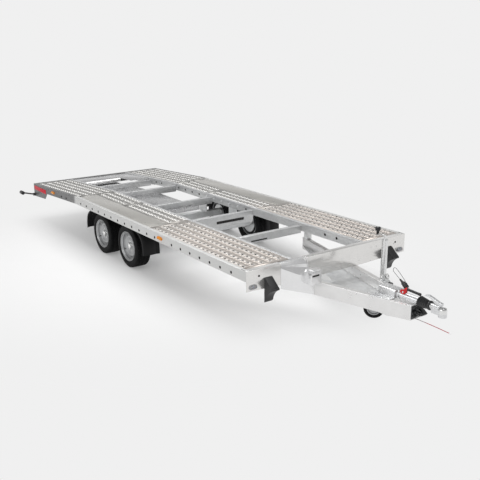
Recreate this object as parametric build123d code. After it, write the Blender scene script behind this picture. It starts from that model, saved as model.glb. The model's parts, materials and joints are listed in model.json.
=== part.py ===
"""Tandem-axle flatbed car trailer, standing on its wheels and its jockey wheel.

Millimetres. +X points forward to the coupling, +Y to the left, +Z up. Stations along X are measured
from midway between the axles. write() moves each piece so that the origin of the written files is on
the floor, on the centreline, under the middle of the overall length.
"""
from build123d import *
from math import atan2, cos, degrees, hypot, pi, radians, sin, tan
import os

# ---------------------------------------------------------------- driving dimensions

# Bed: a flat front part and a rear part that slopes down to the floor (the beavertail)
bed_width = 2100
bed_front_x = 2870
flat_length = 3890
tail_length = 1610
tail_drop = 84
deck_height = 640
deck_sheet = 4
deck_lip = 30
joint_gap = 0.3

# Holes through the tracks: rows along X, at stations counted from one hole
deck_hole_x = 2126
deck_hole_pitch = 151
deck_hole_radius = 15
track_rows = (562, 666, 770, 874, 978)
narrow_rows = (522, 612, 710)
front_steps = range(-7, 5)
narrow_steps = range(-19, -7)
tail_steps = range(-30, -20)

# Outer side rails: pressed channels with a row of lashing holes
rail_depth = 100
rail_wall = 4
rail_flange = 44
hole_pitch = 183
hole_radius = 15
hole_drop = 67
first_hole_x = -842
holes_forward = 20
lamp_hole = 12
tail_hole_steps = (323, 493)
corner_plate_length = 545
corner_plate_depth = 190
corner_plate_slope = 90

# Inner rails along the open centre
inner_rail_y = 455
inner_rail_depth = 90
inner_flange = 42

# Smooth plates above the wheels
cover_rear_x = -940
cover_front_x = 985
cover_margin = 25

# Cross-members
cross_stations = {"front": 1840, "second": 925, "middle": 0, "fourth": -950, "fifth": -1700}
cross_top_drop = 30
cross_depth = 84
cross_width = 60
cross_wall = 4
deep_beams = {"second": 140}
beam_slots = {"front": (-251, -31, 538, 554), "second": (-88, 316, 515, 548)}
rear_beam_length = 70
rear_beam_depth = 130
rear_panel_length = 430
rear_panel_drop = 6
rear_roller_radius = 22
plate_edge_y = 143
infill_drop = 87
infill_sheet = 3
infill_rear_x = -2260
infill_front_x = 207
infill_lip = (522, 575)

# Front board
board_wall = 4
board_flange = 60
board_corner_rise = 18
board_end_strip = 120

# Drawbar
arm_rear_x = 1760
arm_front_x = 3958
arm_front_y = 75
arm_slope = 0.255
arm_width = 60
arm_wall = 5
arm_top = 425
arm_height = 135
arm_belly = 14
arm_belly_start_x = 3660
arm_belly_peak_x = 3740
tray_front_x = 3500
tray_notch_x = 2880
tray_z = 330
tray_sheet = 4

# Running gear
axle_spacing = 714
tyre_radius = 263
tyre_width = 195
tyre_margin = 55
tyre_tread_width = 156
tyre_widest_radius = 226
bead_radius = 168
rim_width = 150
rim_sheet = 5
rim_disc_radius = 120
rim_disc_dish = 28
drum_radius = 118
drum_length = 88
backplate_radius = 122
backplate_sheet = 5
spindle_radius = 17.5
axle_tube_size = 80
axle_tube_lead = 130
axle_tube_lift = 62
swing_arm_width = 46
swing_arm_gap = 15
swing_arm_radius = 42
hanger_thickness = 12
hanger_length = 170

# Mudguards
guard_radius = 300
guard_sheet = 4
guard_margin = 8
guard_overhang = 7
guard_reach = 451
guard_end_drop = 11
guard_squareness = 3
guard_skirt = 26
guard_post_length = 90
guard_post_width = 70

# Coupling
coupling_z = 460
overrun_body_x = (3560, 3752)
overrun_body_width = 126
overrun_body_height = 76
sleeve_radius = 41
sleeve_front_x = 3984
bellows_front_x = 4108
bellows_ribs = 7
bellows_rear_radius = 53
bellows_front_radius = 36
head_ball_x = 4232
ball_radius = 25
cup_clearance = 0.25
cup_wall = 11
cup_drop = 32

# Jockey wheel
jockey_x = 3290
jockey_side_gap = 12
jockey_tube_radius = 30
jockey_tube_top = 805
jockey_tube_bottom = 262
jockey_inner_radius = 24
jockey_inner_bottom = 232
jockey_trail = (-56, -48)
jockey_wheel_radius = 100
jockey_wheel_width = 50
jockey_hub_radius = 68
jockey_axle_radius = 8

# Hollow cover at the right arm's root: a wing in plan, with a hood that falls from the deck's edge
cover_root = (2876, -650)
cover_end = (2985, -324)
cover_wall = 4
cover_low = (390, 293)
hood_root = ((2812, 636), (2838, 633), (2860, 619), (2869, 604), (2876, 592))
hood_end = ((2812, 636), (2850, 622), (2884, 580), (2893, 545), (2985, 439))
latch_front_x = 3060
latch_y = (-430, -305.5)
latch_top = 566
latch_chamfer = 26
latch_slot_y = (-419, -331)
latch_slot_z = (505, 523)
latch_slot_depth = 14

# Lamps and trim
side_lamp_front_x = 1290
side_lamp_tail = 800
side_lamp_size = (104, 36, 22)
front_lamp_size = (92, 46, 22)
front_lamp_margin = 75
front_lamp_z = 478
strip_margin = 24
strip_length = 480
strip_height = 60
strip_depth = 3
strip_drop = 22
tail_lamp_margin = 90
tail_lamp_length = 236
tail_lamp_height = 100
tail_lamp_depth = 34
tail_lamp_round = 10
plate_length = 520
plate_height = 112
plate_sheet = 3
outline_lamp_inset = 34
outline_root_drop = 160
outline_lamp_reach = 200
outline_lamp_rise = 50
outline_foot = 30
outline_foot_radius = 22
outline_arm_radius = 11
outline_lens_radius = 27
outline_lens_length = 84

# Wheel chocks
chock_top_z = 542
chock_length = 240
chock_width = 90
chock_reach = 118
chock_margin = 250
chock_edge = 8
chock_tip_drop = 92
chock_hollow_radius = 150
chock_hollow_centre = (170, -6)

# Coupling details
sleeve_root = 10
sleeve_collar = 24
sleeve_neck_radius = 34
foot_sheet = 8
foot_margin = 4
base_round = 18
bellows_rib_depth = 7
head_shank_radius = 30
neck_lead = 20
neck_inset = 4
ball_z = 428
handle_width = 34
handle_outline = ((-100, 44), (-150, 58), (-186, 52), (-186, 44), (-152, 48), (-104, 34), (-44, 0),
                  (-10, 0), (-10, 22), (-40, 26))
handbrake_x = 3834
handbrake_y = -26
handbrake_sheet = 12
handbrake_lift = 40
handbrake_heel = 60
handbrake_toe = 16
handbrake_knee = 14
handbrake_half_depth = 10
pivot_lift = 18
pivot_reach = 8
pivot_radius = 9
grip_root = 30
grip_length = 150
grip_fall = 6
grip_radius = 14
linkage_sheet = 8
linkage_width = 60
linkage_low = 302
linkage_top_drop = 4
linkage_outline = ((0, -20), (60, -34), (96, -62), (84, -78), (44, -84))

# Breakaway cable: route from its root on the linkage plate
cable_radius = 3
cable_y = -40
cable_rise = 8
cable_steps = ((0, 0, 0), (76.7, 0, 0), (154.7, 0.4, -1.6), (234.7, 1.2, -4.3), (312.7, 2.4, -8.5),
               (388.7, 4, -14))

# Parked plug, and the stiff loop of cord from its boot back to the lug on it
plug_boot_end = (3729, 24, 586)
plug_length = 62
plug_boot_length = 42
plug_radius = 23
plug_waist = 20
plug_waist_at = (18, 22)
plug_edge = (6, 2)
plug_boot_radii = (13, 8)
plug_boot_tip = 6
lug_radius = 5
lug_length = 20
cord_radius = 2
cord_steps = ((0, 0, 0), (-32, 0, 20.6), (-66, 0.4, 43.5), (-83.4, 0.8, 54.1), (-87.3, 1.4, 72.3),
              (-77.2, 2, 87.9), (-59, 2.2, 91.8), (-41.5, 2, 81.5), (-15, 1.4, 63), (15, 0.6, 40.5),
              (46, 0, 14), (72, 0, -12.5))
holder_x = (3786, 3804)
holder_half_width = 14
holder_top = 530

# Wheel details
swing_pivot_rim = 6
swing_web_depth = 67
spindle_end_gap = 4
rim_disc_offset = 22
rim_well = 14
rim_well_step = 6
rim_hub_step = 8
rim_dish_thinning = 4
drum_flange_radius = 70
drum_face = 14
drum_edge = (6, 8)
hub_bore_radius = 33
rim_vents = 12
rim_vent_circle = 132
rim_vent_radius = 8
cap_length = 46

# Jockey details
clamp_wall = 7
clamp_margin = 22
clamp_half_length = 48
clamp_foot = 10
clamp_screw_radius = 8
clamp_screw_length = 46
clamp_screw_drop = 20
jockey_cap = 14
crank_height = 46
crank_throw = 96
crank_radius = 7
crank_boss_rim = 3
knob_length = 70
knob_radius = 14
jockey_leg_length = 420
fork_gap = 6
fork_sheet = 5
fork_top_radius = 34
fork_plate_reach = 30
fork_toe = 18
fork_pin_head = 3
axle_low = 84
jockey_bead_inset = 4
jockey_shoulder = 10
jockey_hub_inset = 6
jockey_rim_wall = 8
jockey_rim_well = 14
jockey_web_half = 6
jockey_boss_radii = (22, 20)
jockey_boss_inset = 2

# ---------------------------------------------------------------- derived places

half_width = bed_width / 2
kink_x = bed_front_x - flat_length
bed_rear_x = kink_x - tail_length
arm_bottom = arm_top - arm_height
wheel_stations = {"front": axle_spacing / 2, "rear": -axle_spacing / 2}
tyre_outer_y = half_width - tyre_margin
tyre_inner_y = tyre_outer_y - tyre_width
cover_inner_y = tyre_inner_y - cover_margin
guard_inner_y = tyre_inner_y - guard_margin
guard_outer_y = tyre_outer_y + guard_overhang
wheel_mid_y = (tyre_outer_y + tyre_inner_y) / 2
deck_outer_y = half_width - rail_flange - joint_gap
deck_inner_y = inner_rail_y + inner_flange + joint_gap
drum_outer_bore_y = wheel_mid_y + rim_disc_offset - drum_face
drum_inner_y = wheel_mid_y + rim_disc_offset - joint_gap - drum_length
bellows_rear_x = sleeve_front_x + joint_gap
grip_rear_x = handbrake_x + grip_root
linkage_rear_x = arm_front_x + joint_gap
cup_radius = ball_radius + cup_clearance + cup_wall
overall_middle_x = (head_ball_x + cup_radius + bed_rear_x - joint_gap - tail_lamp_depth) / 2


def deck_z(x):
    """Height of the deck's top surface at station x."""
    return deck_height - tail_drop * max(0, kink_x - x) / tail_length


def arm_outer_y(x):
    """Distance of a drawbar arm's outer face from the centreline at station x."""
    return arm_front_y + arm_slope * (arm_front_x - x)


jockey_y = arm_outer_y(jockey_x) + jockey_side_gap + jockey_tube_radius

# ---------------------------------------------------------------- helpers


def block(x, y, z):
    """Box between the two values given for each axis."""
    size = [abs(b - a) for a, b in (x, y, z)]
    low = [min(pair) for pair in (x, y, z)]
    return Pos(*low) * Box(*size, align=(Align.MIN, Align.MIN, Align.MIN))


def rod(start, end, radius):
    """Round bar between two points."""
    path = Vector(*end) - Vector(*start)
    plane = Plane(origin=start, z_dir=path)
    return plane * Cylinder(radius, path.length, align=(Align.CENTER, Align.CENTER, Align.MIN))


def prism_y(points, y_low, y_high):
    """Side outline of (x, z) points, extruded across the trailer."""
    face = make_face(Polyline(*[(x, y_low, z) for x, z in points], close=True))
    return extrude(face, amount=y_high - y_low, dir=(0, 1, 0))


def prism_z(points, z_low, z_high):
    """Plan outline of (x, y) points, extruded upwards."""
    face = make_face(Polyline(*[(x, y, z_low) for x, y in points], close=True))
    return extrude(face, amount=z_high - z_low, dir=(0, 0, 1))


def strip(x_rear, x_front, y_low, y_high, top, bottom):
    """Bar that follows the deck line, from top to bottom below the deck's surface."""
    stations = [x_rear, x_front]
    if x_rear < kink_x < x_front:
        stations.insert(1, kink_x)
    upper = [(x, deck_z(x) - top) for x in stations]
    lower = [(x, deck_z(x) - bottom) for x in reversed(stations)]
    return prism_y(upper + lower, y_low, y_high)


def mirrored(shape):
    """The same piece on the other side of the trailer."""
    return mirror(shape, about=Plane.XZ)


def cord(root, steps, radius):
    """Round cord along straight runs joined by tangent arcs; steps are offsets from its root."""
    points = [Vector(*root) + Vector(*step) for step in steps]
    runs = [(b - a).length for a, b in zip(points, points[1:])]
    edges, radii, start = [], [], points[0]
    for i in range(1, len(points) - 1):
        back, ahead = (points[i - 1] - points[i]).normalized(), (points[i + 1] - points[i]).normalized()
        half_turn = (pi - radians(back.get_angle(ahead))) / 2
        tangent = 0.45 * min(runs[i - 1], runs[i])
        radii.append(tangent / tan(half_turn))
        sagitta = radii[-1] * (1 / cos(half_turn) - 1)
        middle = points[i] + (back + ahead).normalized() * sagitta
        first, last = points[i] + back * tangent, points[i] + ahead * tangent
        edges += [Line(start, first), ThreePointArc(first, middle, last)]
        start = last
    edges.append(Line(start, points[-1]))
    path = Wire([edge.edge() for edge in edges])
    section = Plane(origin=points[0], z_dir=points[1] - points[0]) * Circle(radius)
    tube = sweep(section, path=path)
    share = tube.volume / (pi * radius * radius * path.length)
    print(f"cord: length {path.length:.1f}, smallest radius {min(radii):.1f}, volume ratio {share:.4f}")
    return tube


def write(name, *shapes):
    """One node of one or more solids that don't touch."""
    placed = [Pos(-overall_middle_x, 0, 0) * shape for shape in shapes]
    export_step(placed[0] if len(placed) == 1 else Compound(children=placed), f"parts/{name}.step")


def write_pair(name, left_shape):
    """Two nodes, one for each side."""
    write(f"{name}_left", left_shape)
    write(f"{name}_right", mirrored(left_shape))


def write_set(name, *left_shapes):
    """One node with like pieces on both sides."""
    write(name, *left_shapes, *[mirrored(shape) for shape in left_shapes])


# ---------------------------------------------------------------- bed

def hole_stations():
    """Stations of the lashing holes: an even row, and a pair in the sloping part."""
    row = [first_hole_x + hole_pitch * i for i in range(holes_forward) if i != lamp_hole]
    return [kink_x - step for step in tail_hole_steps] + row


def side_rail():
    """Channel with its web outside, its holes, and the deeper plate at the rear corner."""
    rear, front = bed_rear_x + rear_beam_length + joint_gap, bed_front_x - joint_gap
    plate_front = bed_rear_x + corner_plate_length
    corner_low = deck_z(plate_front) - corner_plate_depth
    outline = [
        (bed_rear_x, deck_z(bed_rear_x)), (kink_x, deck_height), (front, deck_height),
        (front, deck_height - rail_depth), (kink_x, deck_height - rail_depth),
        (plate_front, deck_z(plate_front) - rail_depth), (plate_front - corner_plate_slope, corner_low),
        (bed_rear_x, deck_z(bed_rear_x) - corner_plate_depth),
    ]
    rail = prism_y(outline, half_width - rail_wall, half_width)
    for x in hole_stations():
        z = deck_z(x) - hole_drop
        rail -= rod((x, half_width - 2 * rail_wall, z), (x, half_width + 1, z), hole_radius)
    flange_y = half_width - rail_flange
    top = strip(rear, front, flange_y, half_width - rail_wall, 0, rail_wall)
    foot = strip(rear, front, flange_y, half_width - rail_wall, rail_depth - rail_wall, rail_depth)
    return rail + top + foot


def inner_rail():
    """Channel with its web towards the open centre."""
    rear, front = bed_rear_x + rear_beam_length + joint_gap, bed_front_x - board_flange - joint_gap
    web = strip(rear, front, inner_rail_y, inner_rail_y + rail_wall, 0, inner_rail_depth)
    outer_y = inner_rail_y + inner_flange
    top = strip(rear, front, inner_rail_y, outer_y, 0, rail_wall)
    foot = strip(rear, front, inner_rail_y, outer_y, inner_rail_depth - rail_wall, inner_rail_depth)
    rail = web + top + foot
    for x in hole_stations():
        z = deck_z(x) - inner_rail_depth / 2
        rail -= rod((x, inner_rail_y - 1, z), (x, inner_rail_y + 2 * rail_wall, z), hole_radius)
    return rail


def track_holes():
    """Cutters for the grid of round holes: five rows before and behind the wheels, three beside them."""
    cutters = []
    for steps, rows in ((front_steps, track_rows), (narrow_steps, narrow_rows), (tail_steps, track_rows)):
        for step in steps:
            x = deck_hole_x + deck_hole_pitch * step
            z = deck_z(x)
            cutters += [rod((x, y, z - deck_lip), (x, y, z + deck_lip), deck_hole_radius) for y in rows]
    return cutters


def deck_track():
    """Folded sheet that a wheel runs on, notched around the smooth plate above the wheels."""
    rear, front = bed_rear_x + rear_beam_length + joint_gap, bed_front_x - board_flange - joint_gap
    sheet = strip(rear, front, deck_inner_y, deck_outer_y, 0, deck_sheet)
    notch = block((cover_rear_x, cover_front_x), (cover_inner_y, half_width), (0, deck_height + 1))
    inner_lip = strip(rear, front, deck_inner_y, deck_inner_y + deck_sheet, 0, deck_lip - joint_gap)
    return sheet - notch - track_holes() + inner_lip


def wheel_cover():
    """Smooth plate above the two wheels of one side."""
    x = (cover_rear_x + joint_gap, cover_front_x - joint_gap)
    y = (cover_inner_y + joint_gap, deck_outer_y)
    return block(x, y, (deck_height - deck_sheet, deck_height))


def cross_member(x, y_low, y_high, depth):
    """One length of a cross-member: a top-hat beam, open below."""
    rear, front = x - cross_width / 2, x + cross_width / 2
    low = cross_top_drop + depth
    shell = strip(rear, front, y_low, y_high, cross_top_drop, low)
    inside = strip(rear + cross_wall, front - cross_wall, y_low - 1, y_high + 1,
                   cross_top_drop + cross_wall, low + 1)
    return shell - inside


def cross_members():
    """Every cross-member, in lengths between the rails; the middle one stops clear of the mudguards."""
    centre = inner_rail_y - joint_gap
    outer = (inner_rail_y + inner_flange + joint_gap, half_width - rail_flange - joint_gap)
    pieces = []
    for name, x in cross_stations.items():
        beam = cross_member(x, -centre, centre, deep_beams.get(name, cross_depth))
        if name in beam_slots:
            y_low, y_high, z_low, z_high = beam_slots[name]
            beam -= block((x, x + cross_width), (y_low, y_high), (z_low, z_high))
        pieces.append(beam)
        if name != "middle":
            side = cross_member(x, *outer, cross_depth)
            pieces += [side, mirrored(side)]
    return pieces


def rear_beam():
    """Channel across the rear end, open towards the front."""
    z_high = deck_z(bed_rear_x + rear_beam_length)
    y = half_width - rail_wall - joint_gap
    low = deck_z(bed_rear_x) - rear_beam_depth
    outline = [(bed_rear_x, low), (bed_rear_x + rear_beam_length, low),
               (bed_rear_x + rear_beam_length, z_high), (bed_rear_x, deck_z(bed_rear_x))]
    beam = prism_y(outline, -y, y)
    inside = block((bed_rear_x + rail_wall, bed_rear_x + rear_beam_length + 1), (-y - 1, y + 1),
                   (low + rail_wall, deck_z(bed_rear_x) - rail_wall))
    return beam - inside


def rear_panel():
    """Smooth plate that closes the centre at the rear; its left part reaches a cross-member."""
    rear = bed_rear_x + rear_beam_length + joint_gap
    front = cross_stations["fifth"] - cross_width / 2 - joint_gap
    y = inner_rail_y - joint_gap
    low = rear_panel_drop + deck_sheet
    main = strip(rear, rear + rear_panel_length, -y, y, rear_panel_drop, low)
    return main + strip(rear, front, plate_edge_y, y, rear_panel_drop, low)


def infill_plates():
    """Plates low between the cross-members, right of an open strip; the front one ends in a lip."""
    half = cross_width / 2 + joint_gap
    beams = [cross_stations[name] for name in ("fifth", "fourth", "middle")]
    rears = [infill_rear_x] + [x + half for x in beams]
    fronts = [x - half for x in beams] + [infill_front_x]
    y = (-inner_rail_y + joint_gap, plate_edge_y)
    low = infill_drop + infill_sheet
    plates = [strip(rear, front, *y, infill_drop, low) for rear, front in zip(rears, fronts)]
    plates[-1] += block((infill_front_x - infill_sheet, infill_front_x), y, infill_lip)
    return plates


def rear_roller():
    """Round tube at the panel's front edge, from the right rail to the panel's left part."""
    x = bed_rear_x + rear_beam_length + rear_panel_length + rear_roller_radius + 2 * joint_gap
    z = deck_z(x) - rear_panel_drop - rear_roller_radius
    y = (-inner_rail_y + joint_gap, plate_edge_y - joint_gap)
    return rod((x, y[0], z), (x, y[1], z), rear_roller_radius)


def front_board():
    """Full-width plate across the front end, with a top flange; both are notched for the hood."""
    low = arm_top + joint_gap
    high = deck_height
    root_y = arm_outer_y(bed_front_x) + board_end_strip
    outline = [(-half_width, low + board_corner_rise), (-root_y, low), (root_y, low),
               (half_width, low + board_corner_rise), (half_width, high), (-half_width, high)]
    face = make_face(Polyline(*[(bed_front_x, y, z) for y, z in outline], close=True))
    plate = extrude(face, amount=board_wall, dir=(1, 0, 0))
    y = half_width - rail_flange - joint_gap
    flange = block((bed_front_x - board_flange, bed_front_x), (-y, y), (high - board_wall, high))
    notch = block((bed_front_x - board_flange - 1, bed_front_x + board_wall + 1),
                  (cover_root[1] - joint_gap, cover_end[1] + joint_gap), (hood_root[-1][1], high + 1))
    return plate + flange - notch


# ---------------------------------------------------------------- drawbar

def arm_profile():
    """Side outline of an arm: straight, with a rounded belly near the coupling."""
    steps = 10
    belly = []
    for i in range(steps + 1):
        t = i / steps
        x = arm_belly_peak_x + (arm_front_x - arm_belly_peak_x) * (t * t)
        belly.append((x, arm_bottom - arm_belly * (1 - t)))
    lower = [(arm_rear_x, arm_bottom), (arm_belly_start_x, arm_bottom)] + belly
    return lower + [(arm_front_x, arm_top), (arm_rear_x, arm_top)]


def drawbar_arm():
    """Hollow box beam from under the bed to the coupling."""
    side = prism_y(arm_profile(), 0, half_width)

    def plan(inset):
        rear, front = arm_rear_x, arm_front_x
        if inset:
            rear, front = arm_rear_x - 1, arm_front_x - arm_wall
        corners = [(rear, arm_outer_y(rear) - inset), (front, arm_outer_y(front) - inset),
                   (front, arm_outer_y(front) - arm_width + inset),
                   (rear, arm_outer_y(rear) - arm_width + inset)]
        return corners

    outer = side & prism_z(plan(0), 0, deck_height)
    return outer - prism_z(plan(arm_wall), arm_bottom + arm_wall, arm_top - arm_wall)


def drawbar_tray():
    """Plate between the arms, cut to a V at its rear edge."""
    gap = arm_width + joint_gap

    def inner_y(x):
        return arm_outer_y(x) - gap

    rear = arm_rear_x
    points = [(rear, inner_y(rear)), (tray_front_x, inner_y(tray_front_x)),
              (tray_front_x, -inner_y(tray_front_x)), (rear, -inner_y(rear)), (tray_notch_x, 0)]
    return prism_z(points, tray_z, tray_z + tray_sheet)


def arm_bracket():
    """Bolted block between an arm and the front cross-member above it."""
    x = cross_stations["front"]
    top = deck_z(x) - cross_top_drop - cross_depth - joint_gap
    y = arm_outer_y(x)
    return block((x - cross_width / 2, x + cross_width / 2), (y - arm_width, y), (arm_top + joint_gap, top))


def inset(points, depth):
    """Chain of (x, z) points moved square to itself, down and to the rear."""
    moved = []
    for i, (x, z) in enumerate(points):
        a, b = points[max(i - 1, 0)], points[min(i + 1, len(points) - 1)]
        run = hypot(b[0] - a[0], b[1] - a[1])
        moved.append((x + depth * (b[1] - a[1]) / run, z - depth * (b[0] - a[0]) / run))
    return moved


def hood_solid(root, end, low):
    """Ruled solid under the hood's skin, from its outline at the root to the one at its end."""
    faces = []
    for points, y in ((root, cover_root[1]), (end, cover_end[1])):
        corners = [*points, (points[-1][0], low), (points[0][0], low)]
        faces.append(make_face(Polyline(*[(x, y, z) for x, z in corners], close=True)))
    return loft(faces, ruled=True)


def drawbar_cover():
    """Hollow hood and the upright wing below its rim, clear of the front board and of the arm."""
    low = arm_top + joint_gap
    board_x = bed_front_x + board_wall + joint_gap
    hollow = hood_solid(inset(hood_root, cover_wall), inset(hood_end, cover_wall), low - 1)
    room = block((bed_front_x - board_flange - 1, cover_end[0]),
                 (cover_root[1] + cover_wall, cover_end[1] - cover_wall), (0, deck_height))
    hood = hood_solid(hood_root, hood_end, low) - (hollow & room)
    run = Vector(cover_end[0] - cover_root[0], cover_end[1] - cover_root[1], 0).normalized()
    side = make_face(Polyline((*cover_root, cover_low[0]), (*cover_end, cover_low[1]),
                              (*cover_end, hood_end[-1][1]), (*cover_root, hood_root[-1][1]), close=True))
    wing = extrude(side, amount=cover_wall, dir=(-run.Y, run.X, 0))
    board_side = block((board_x - board_flange - board_wall, board_x), (-half_width, 0),
                       (0, hood_root[-1][1] + joint_gap))
    ends = (board_x - board_flange, cover_end[0] + board_flange)
    face_y = [-arm_outer_y(x) - joint_gap for x in ends]
    arm_side = prism_z([(ends[0], face_y[0]), (ends[1], face_y[1]), (ends[1], 0), (ends[0], 0)], 0, low)
    return hood + wing - board_side - arm_side


def cover_latch():
    """Block against the wing, outboard of the arm, with a slot in its front face."""
    slope = (cover_end[0] - cover_root[0]) / (cover_end[1] - cover_root[1])
    rear = [cover_root[0] + slope * (y - cover_root[1]) + 2 * joint_gap for y in latch_y]
    low = arm_top + joint_gap
    body = prism_z([(rear[0], latch_y[0]), (latch_front_x, latch_y[0]), (latch_front_x, latch_y[1]),
                    (rear[1], latch_y[1])], low, latch_top)
    x, y, z = rear[0] - 1, latch_y[0], latch_top
    bevel = make_face(Polyline((x, y - 1, z - latch_chamfer), (x, y + latch_chamfer, z + 1),
                               (x, y - 1, z + 1), close=True))
    slot = block((latch_front_x - latch_slot_depth, latch_front_x + 1), latch_slot_y, latch_slot_z)
    return body - extrude(bevel, amount=latch_front_x - x + 1, dir=(1, 0, 0)) - slot


# ---------------------------------------------------------------- running gear


def axle(x):
    """Rubber-sprung axle: square tube, trailing arms, brake backplates and spindles."""
    tube_x = x + axle_tube_lead
    tube_z = tyre_radius + axle_tube_lift
    half = axle_tube_size / 2
    back_y = drum_inner_y - 3 * joint_gap - backplate_sheet
    arm_high = tyre_inner_y - swing_arm_gap
    arm_low = arm_high - swing_arm_width
    slope = degrees(atan2(tube_z - tyre_radius, tube_x - x))
    length = hypot(tube_z - tyre_radius, tube_x - x)
    whole = block((tube_x - half, tube_x + half), (-arm_low, arm_low), (tube_z - half, tube_z + half))
    for side in (1, -1):
        pivot = rod((tube_x, side * arm_low, tube_z), (tube_x, side * arm_high, tube_z),
                    swing_arm_radius + swing_pivot_rim)
        boss = rod((x, side * arm_low, tyre_radius), (x, side * back_y, tyre_radius), swing_arm_radius)
        middle = ((x + tube_x) / 2, side * (arm_low + arm_high) / 2, (tyre_radius + tube_z) / 2)
        web = Pos(*middle) * Rot(0, -slope, 0) * Box(length, swing_arm_width, swing_web_depth)
        plate = rod((x, side * back_y, tyre_radius), (x, side * (back_y + backplate_sheet), tyre_radius),
                    backplate_radius)
        spindle_y = drum_outer_bore_y - spindle_end_gap
        spindle = rod((x, side * back_y, tyre_radius), (x, side * spindle_y, tyre_radius), spindle_radius)
        whole = whole + pivot + boss + web + plate + spindle
    return whole


def about_wheel(points, x):
    """Solid turned about the wheel axis at station x from (y, radius) points."""
    face = make_face(Polyline(*[(x, y, tyre_radius + r) for y, r in points], close=True))
    return revolve(face, axis=Axis((x, 0, tyre_radius), (0, 1, 0)))


def tyre(x):
    """Tyre with plain flanks; its tread is smooth."""
    y = wheel_mid_y
    half_tread, half_bead, half = tyre_tread_width / 2, rim_width / 2, tyre_width / 2
    points = [(y - half_bead, bead_radius), (y - half, tyre_widest_radius), (y - half_tread, tyre_radius),
              (y + half_tread, tyre_radius), (y + half, tyre_widest_radius), (y + half_bead, bead_radius)]
    return about_wheel(points, x)


def rim(x):
    """Pressed steel wheel: barrel with flanges and a dished disc."""
    y = wheel_mid_y
    half = rim_width / 2
    outer = bead_radius - joint_gap
    inner = outer - rim_sheet
    disc_y = y + rim_disc_offset
    front_y = disc_y + rim_sheet
    points = [(y - half, outer), (y + half, outer), (y + half, inner), (front_y, inner - rim_well),
              (front_y + rim_disc_dish, rim_disc_radius), (front_y + rim_hub_step, drum_flange_radius),
              (front_y + rim_hub_step, hub_bore_radius), (disc_y, hub_bore_radius),
              (disc_y, drum_flange_radius), (disc_y + rim_disc_dish - rim_dish_thinning, rim_disc_radius),
              (disc_y - rim_well_step, inner - rim_well), (y - half, inner)]
    whole = about_wheel(points, x)
    for i in range(rim_vents):
        turn = 2 * pi * (i + 0.5) / rim_vents
        cx, cz = x + rim_vent_circle * cos(turn), tyre_radius + rim_vent_circle * sin(turn)
        whole -= rod((cx, y - half, cz), (cx, y + rim_width, cz), rim_vent_radius)
    return whole


def drum(x):
    """Brake drum with its hub, bored for the spindle, closed by the hub cap."""
    disc_y = wheel_mid_y + rim_disc_offset
    inner_y = drum_inner_y
    outer_y = disc_y - joint_gap
    cap_y = disc_y + cap_length
    bore = spindle_radius + joint_gap
    length, depth = drum_edge
    points = [(inner_y, drum_radius), (outer_y - length, drum_radius), (outer_y, drum_radius - depth),
              (outer_y, hub_bore_radius - joint_gap), (cap_y - length, hub_bore_radius - joint_gap),
              (cap_y, hub_bore_radius - depth), (cap_y, 0), (drum_outer_bore_y, 0),
              (drum_outer_bore_y, bore), (inner_y, bore)]
    return about_wheel(points, x)


def mudguard():
    """Tandem mudguard: level top with a squared quarter round down to each end, and a side skirt."""
    reach = axle_spacing / 2
    steps = 12
    foot = tyre_radius - guard_end_drop
    power = 2 / guard_squareness

    def path(inset):
        along, rise = guard_reach - inset, guard_radius + guard_end_drop - inset
        turns = [pi / 2 * i / steps for i in range(steps + 1)]
        front = [(reach + along * max(cos(turn), 0) ** power, foot + rise * sin(turn) ** power) for turn in turns]
        return front + [(-x, z) for x, z in reversed(front)]

    outer, inner = path(0), path(guard_sheet)
    shell = prism_y(outer + list(reversed(inner)), guard_inner_y, guard_outer_y)
    lip = prism_y(outer + list(reversed(path(guard_skirt))), guard_outer_y - guard_sheet, guard_outer_y)
    return shell + lip


def guard_post():
    """Post between the smooth plate and the mudguard's level top."""
    low = tyre_radius + guard_radius + joint_gap
    high = deck_height - deck_sheet - joint_gap
    y = (guard_inner_y + guard_outer_y) / 2
    half_x, half_y = guard_post_length / 2, guard_post_width / 2
    return block((-half_x, half_x), (y - half_y, y + half_y), (low, high))


def axle_hanger(x):
    """Plate from the inner rail's foot down to the top of the axle tube."""
    tube_x = x + axle_tube_lead
    top = deck_z(tube_x) - inner_rail_depth - joint_gap
    low = tyre_radius + axle_tube_lift + axle_tube_size / 2 + joint_gap
    y = inner_rail_y + inner_flange / 2
    return block((tube_x - hanger_length / 2, tube_x + hanger_length / 2),
                 (y - hanger_thickness / 2, y + hanger_thickness / 2), (low, top))


# ---------------------------------------------------------------- lamps and trim

def oval_lamp(length, height, depth):
    """Flat capsule lens in the XZ plane, its back at y = 0, standing out to +Y."""
    outline = SlotOverall(length, height)
    return Rot(-90, 0, 0) * extrude(outline, amount=depth)


def side_lamp(x):
    z = deck_z(x) - rail_depth / 2
    return Pos(x, half_width + joint_gap, z) * oval_lamp(*side_lamp_size)


def front_lamp():
    """Round-ended marker lamp on the front board, near its lower corner."""
    lens = Rot(0, 0, -90) * oval_lamp(*front_lamp_size)
    return Pos(bed_front_x + board_wall + joint_gap, half_width - front_lamp_margin, front_lamp_z) * lens


def side_strip():
    """Plain red strip on the rear corner."""
    x = (bed_rear_x + strip_margin, bed_rear_x + strip_margin + strip_length)
    z = deck_z(bed_rear_x) - strip_drop
    return block(x, (half_width + joint_gap, half_width + joint_gap + strip_depth), (z - strip_height, z))


def tail_lamp():
    """Rear lamp cluster on the rear beam."""
    z = deck_z(bed_rear_x) - rear_beam_depth / 2
    y = half_width - tail_lamp_margin
    body = block((bed_rear_x - joint_gap - tail_lamp_depth, bed_rear_x - joint_gap),
                 (y - tail_lamp_length, y), (z - tail_lamp_height / 2, z + tail_lamp_height / 2))
    return fillet(body.edges().group_by(Axis.X)[0], tail_lamp_round)


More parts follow.
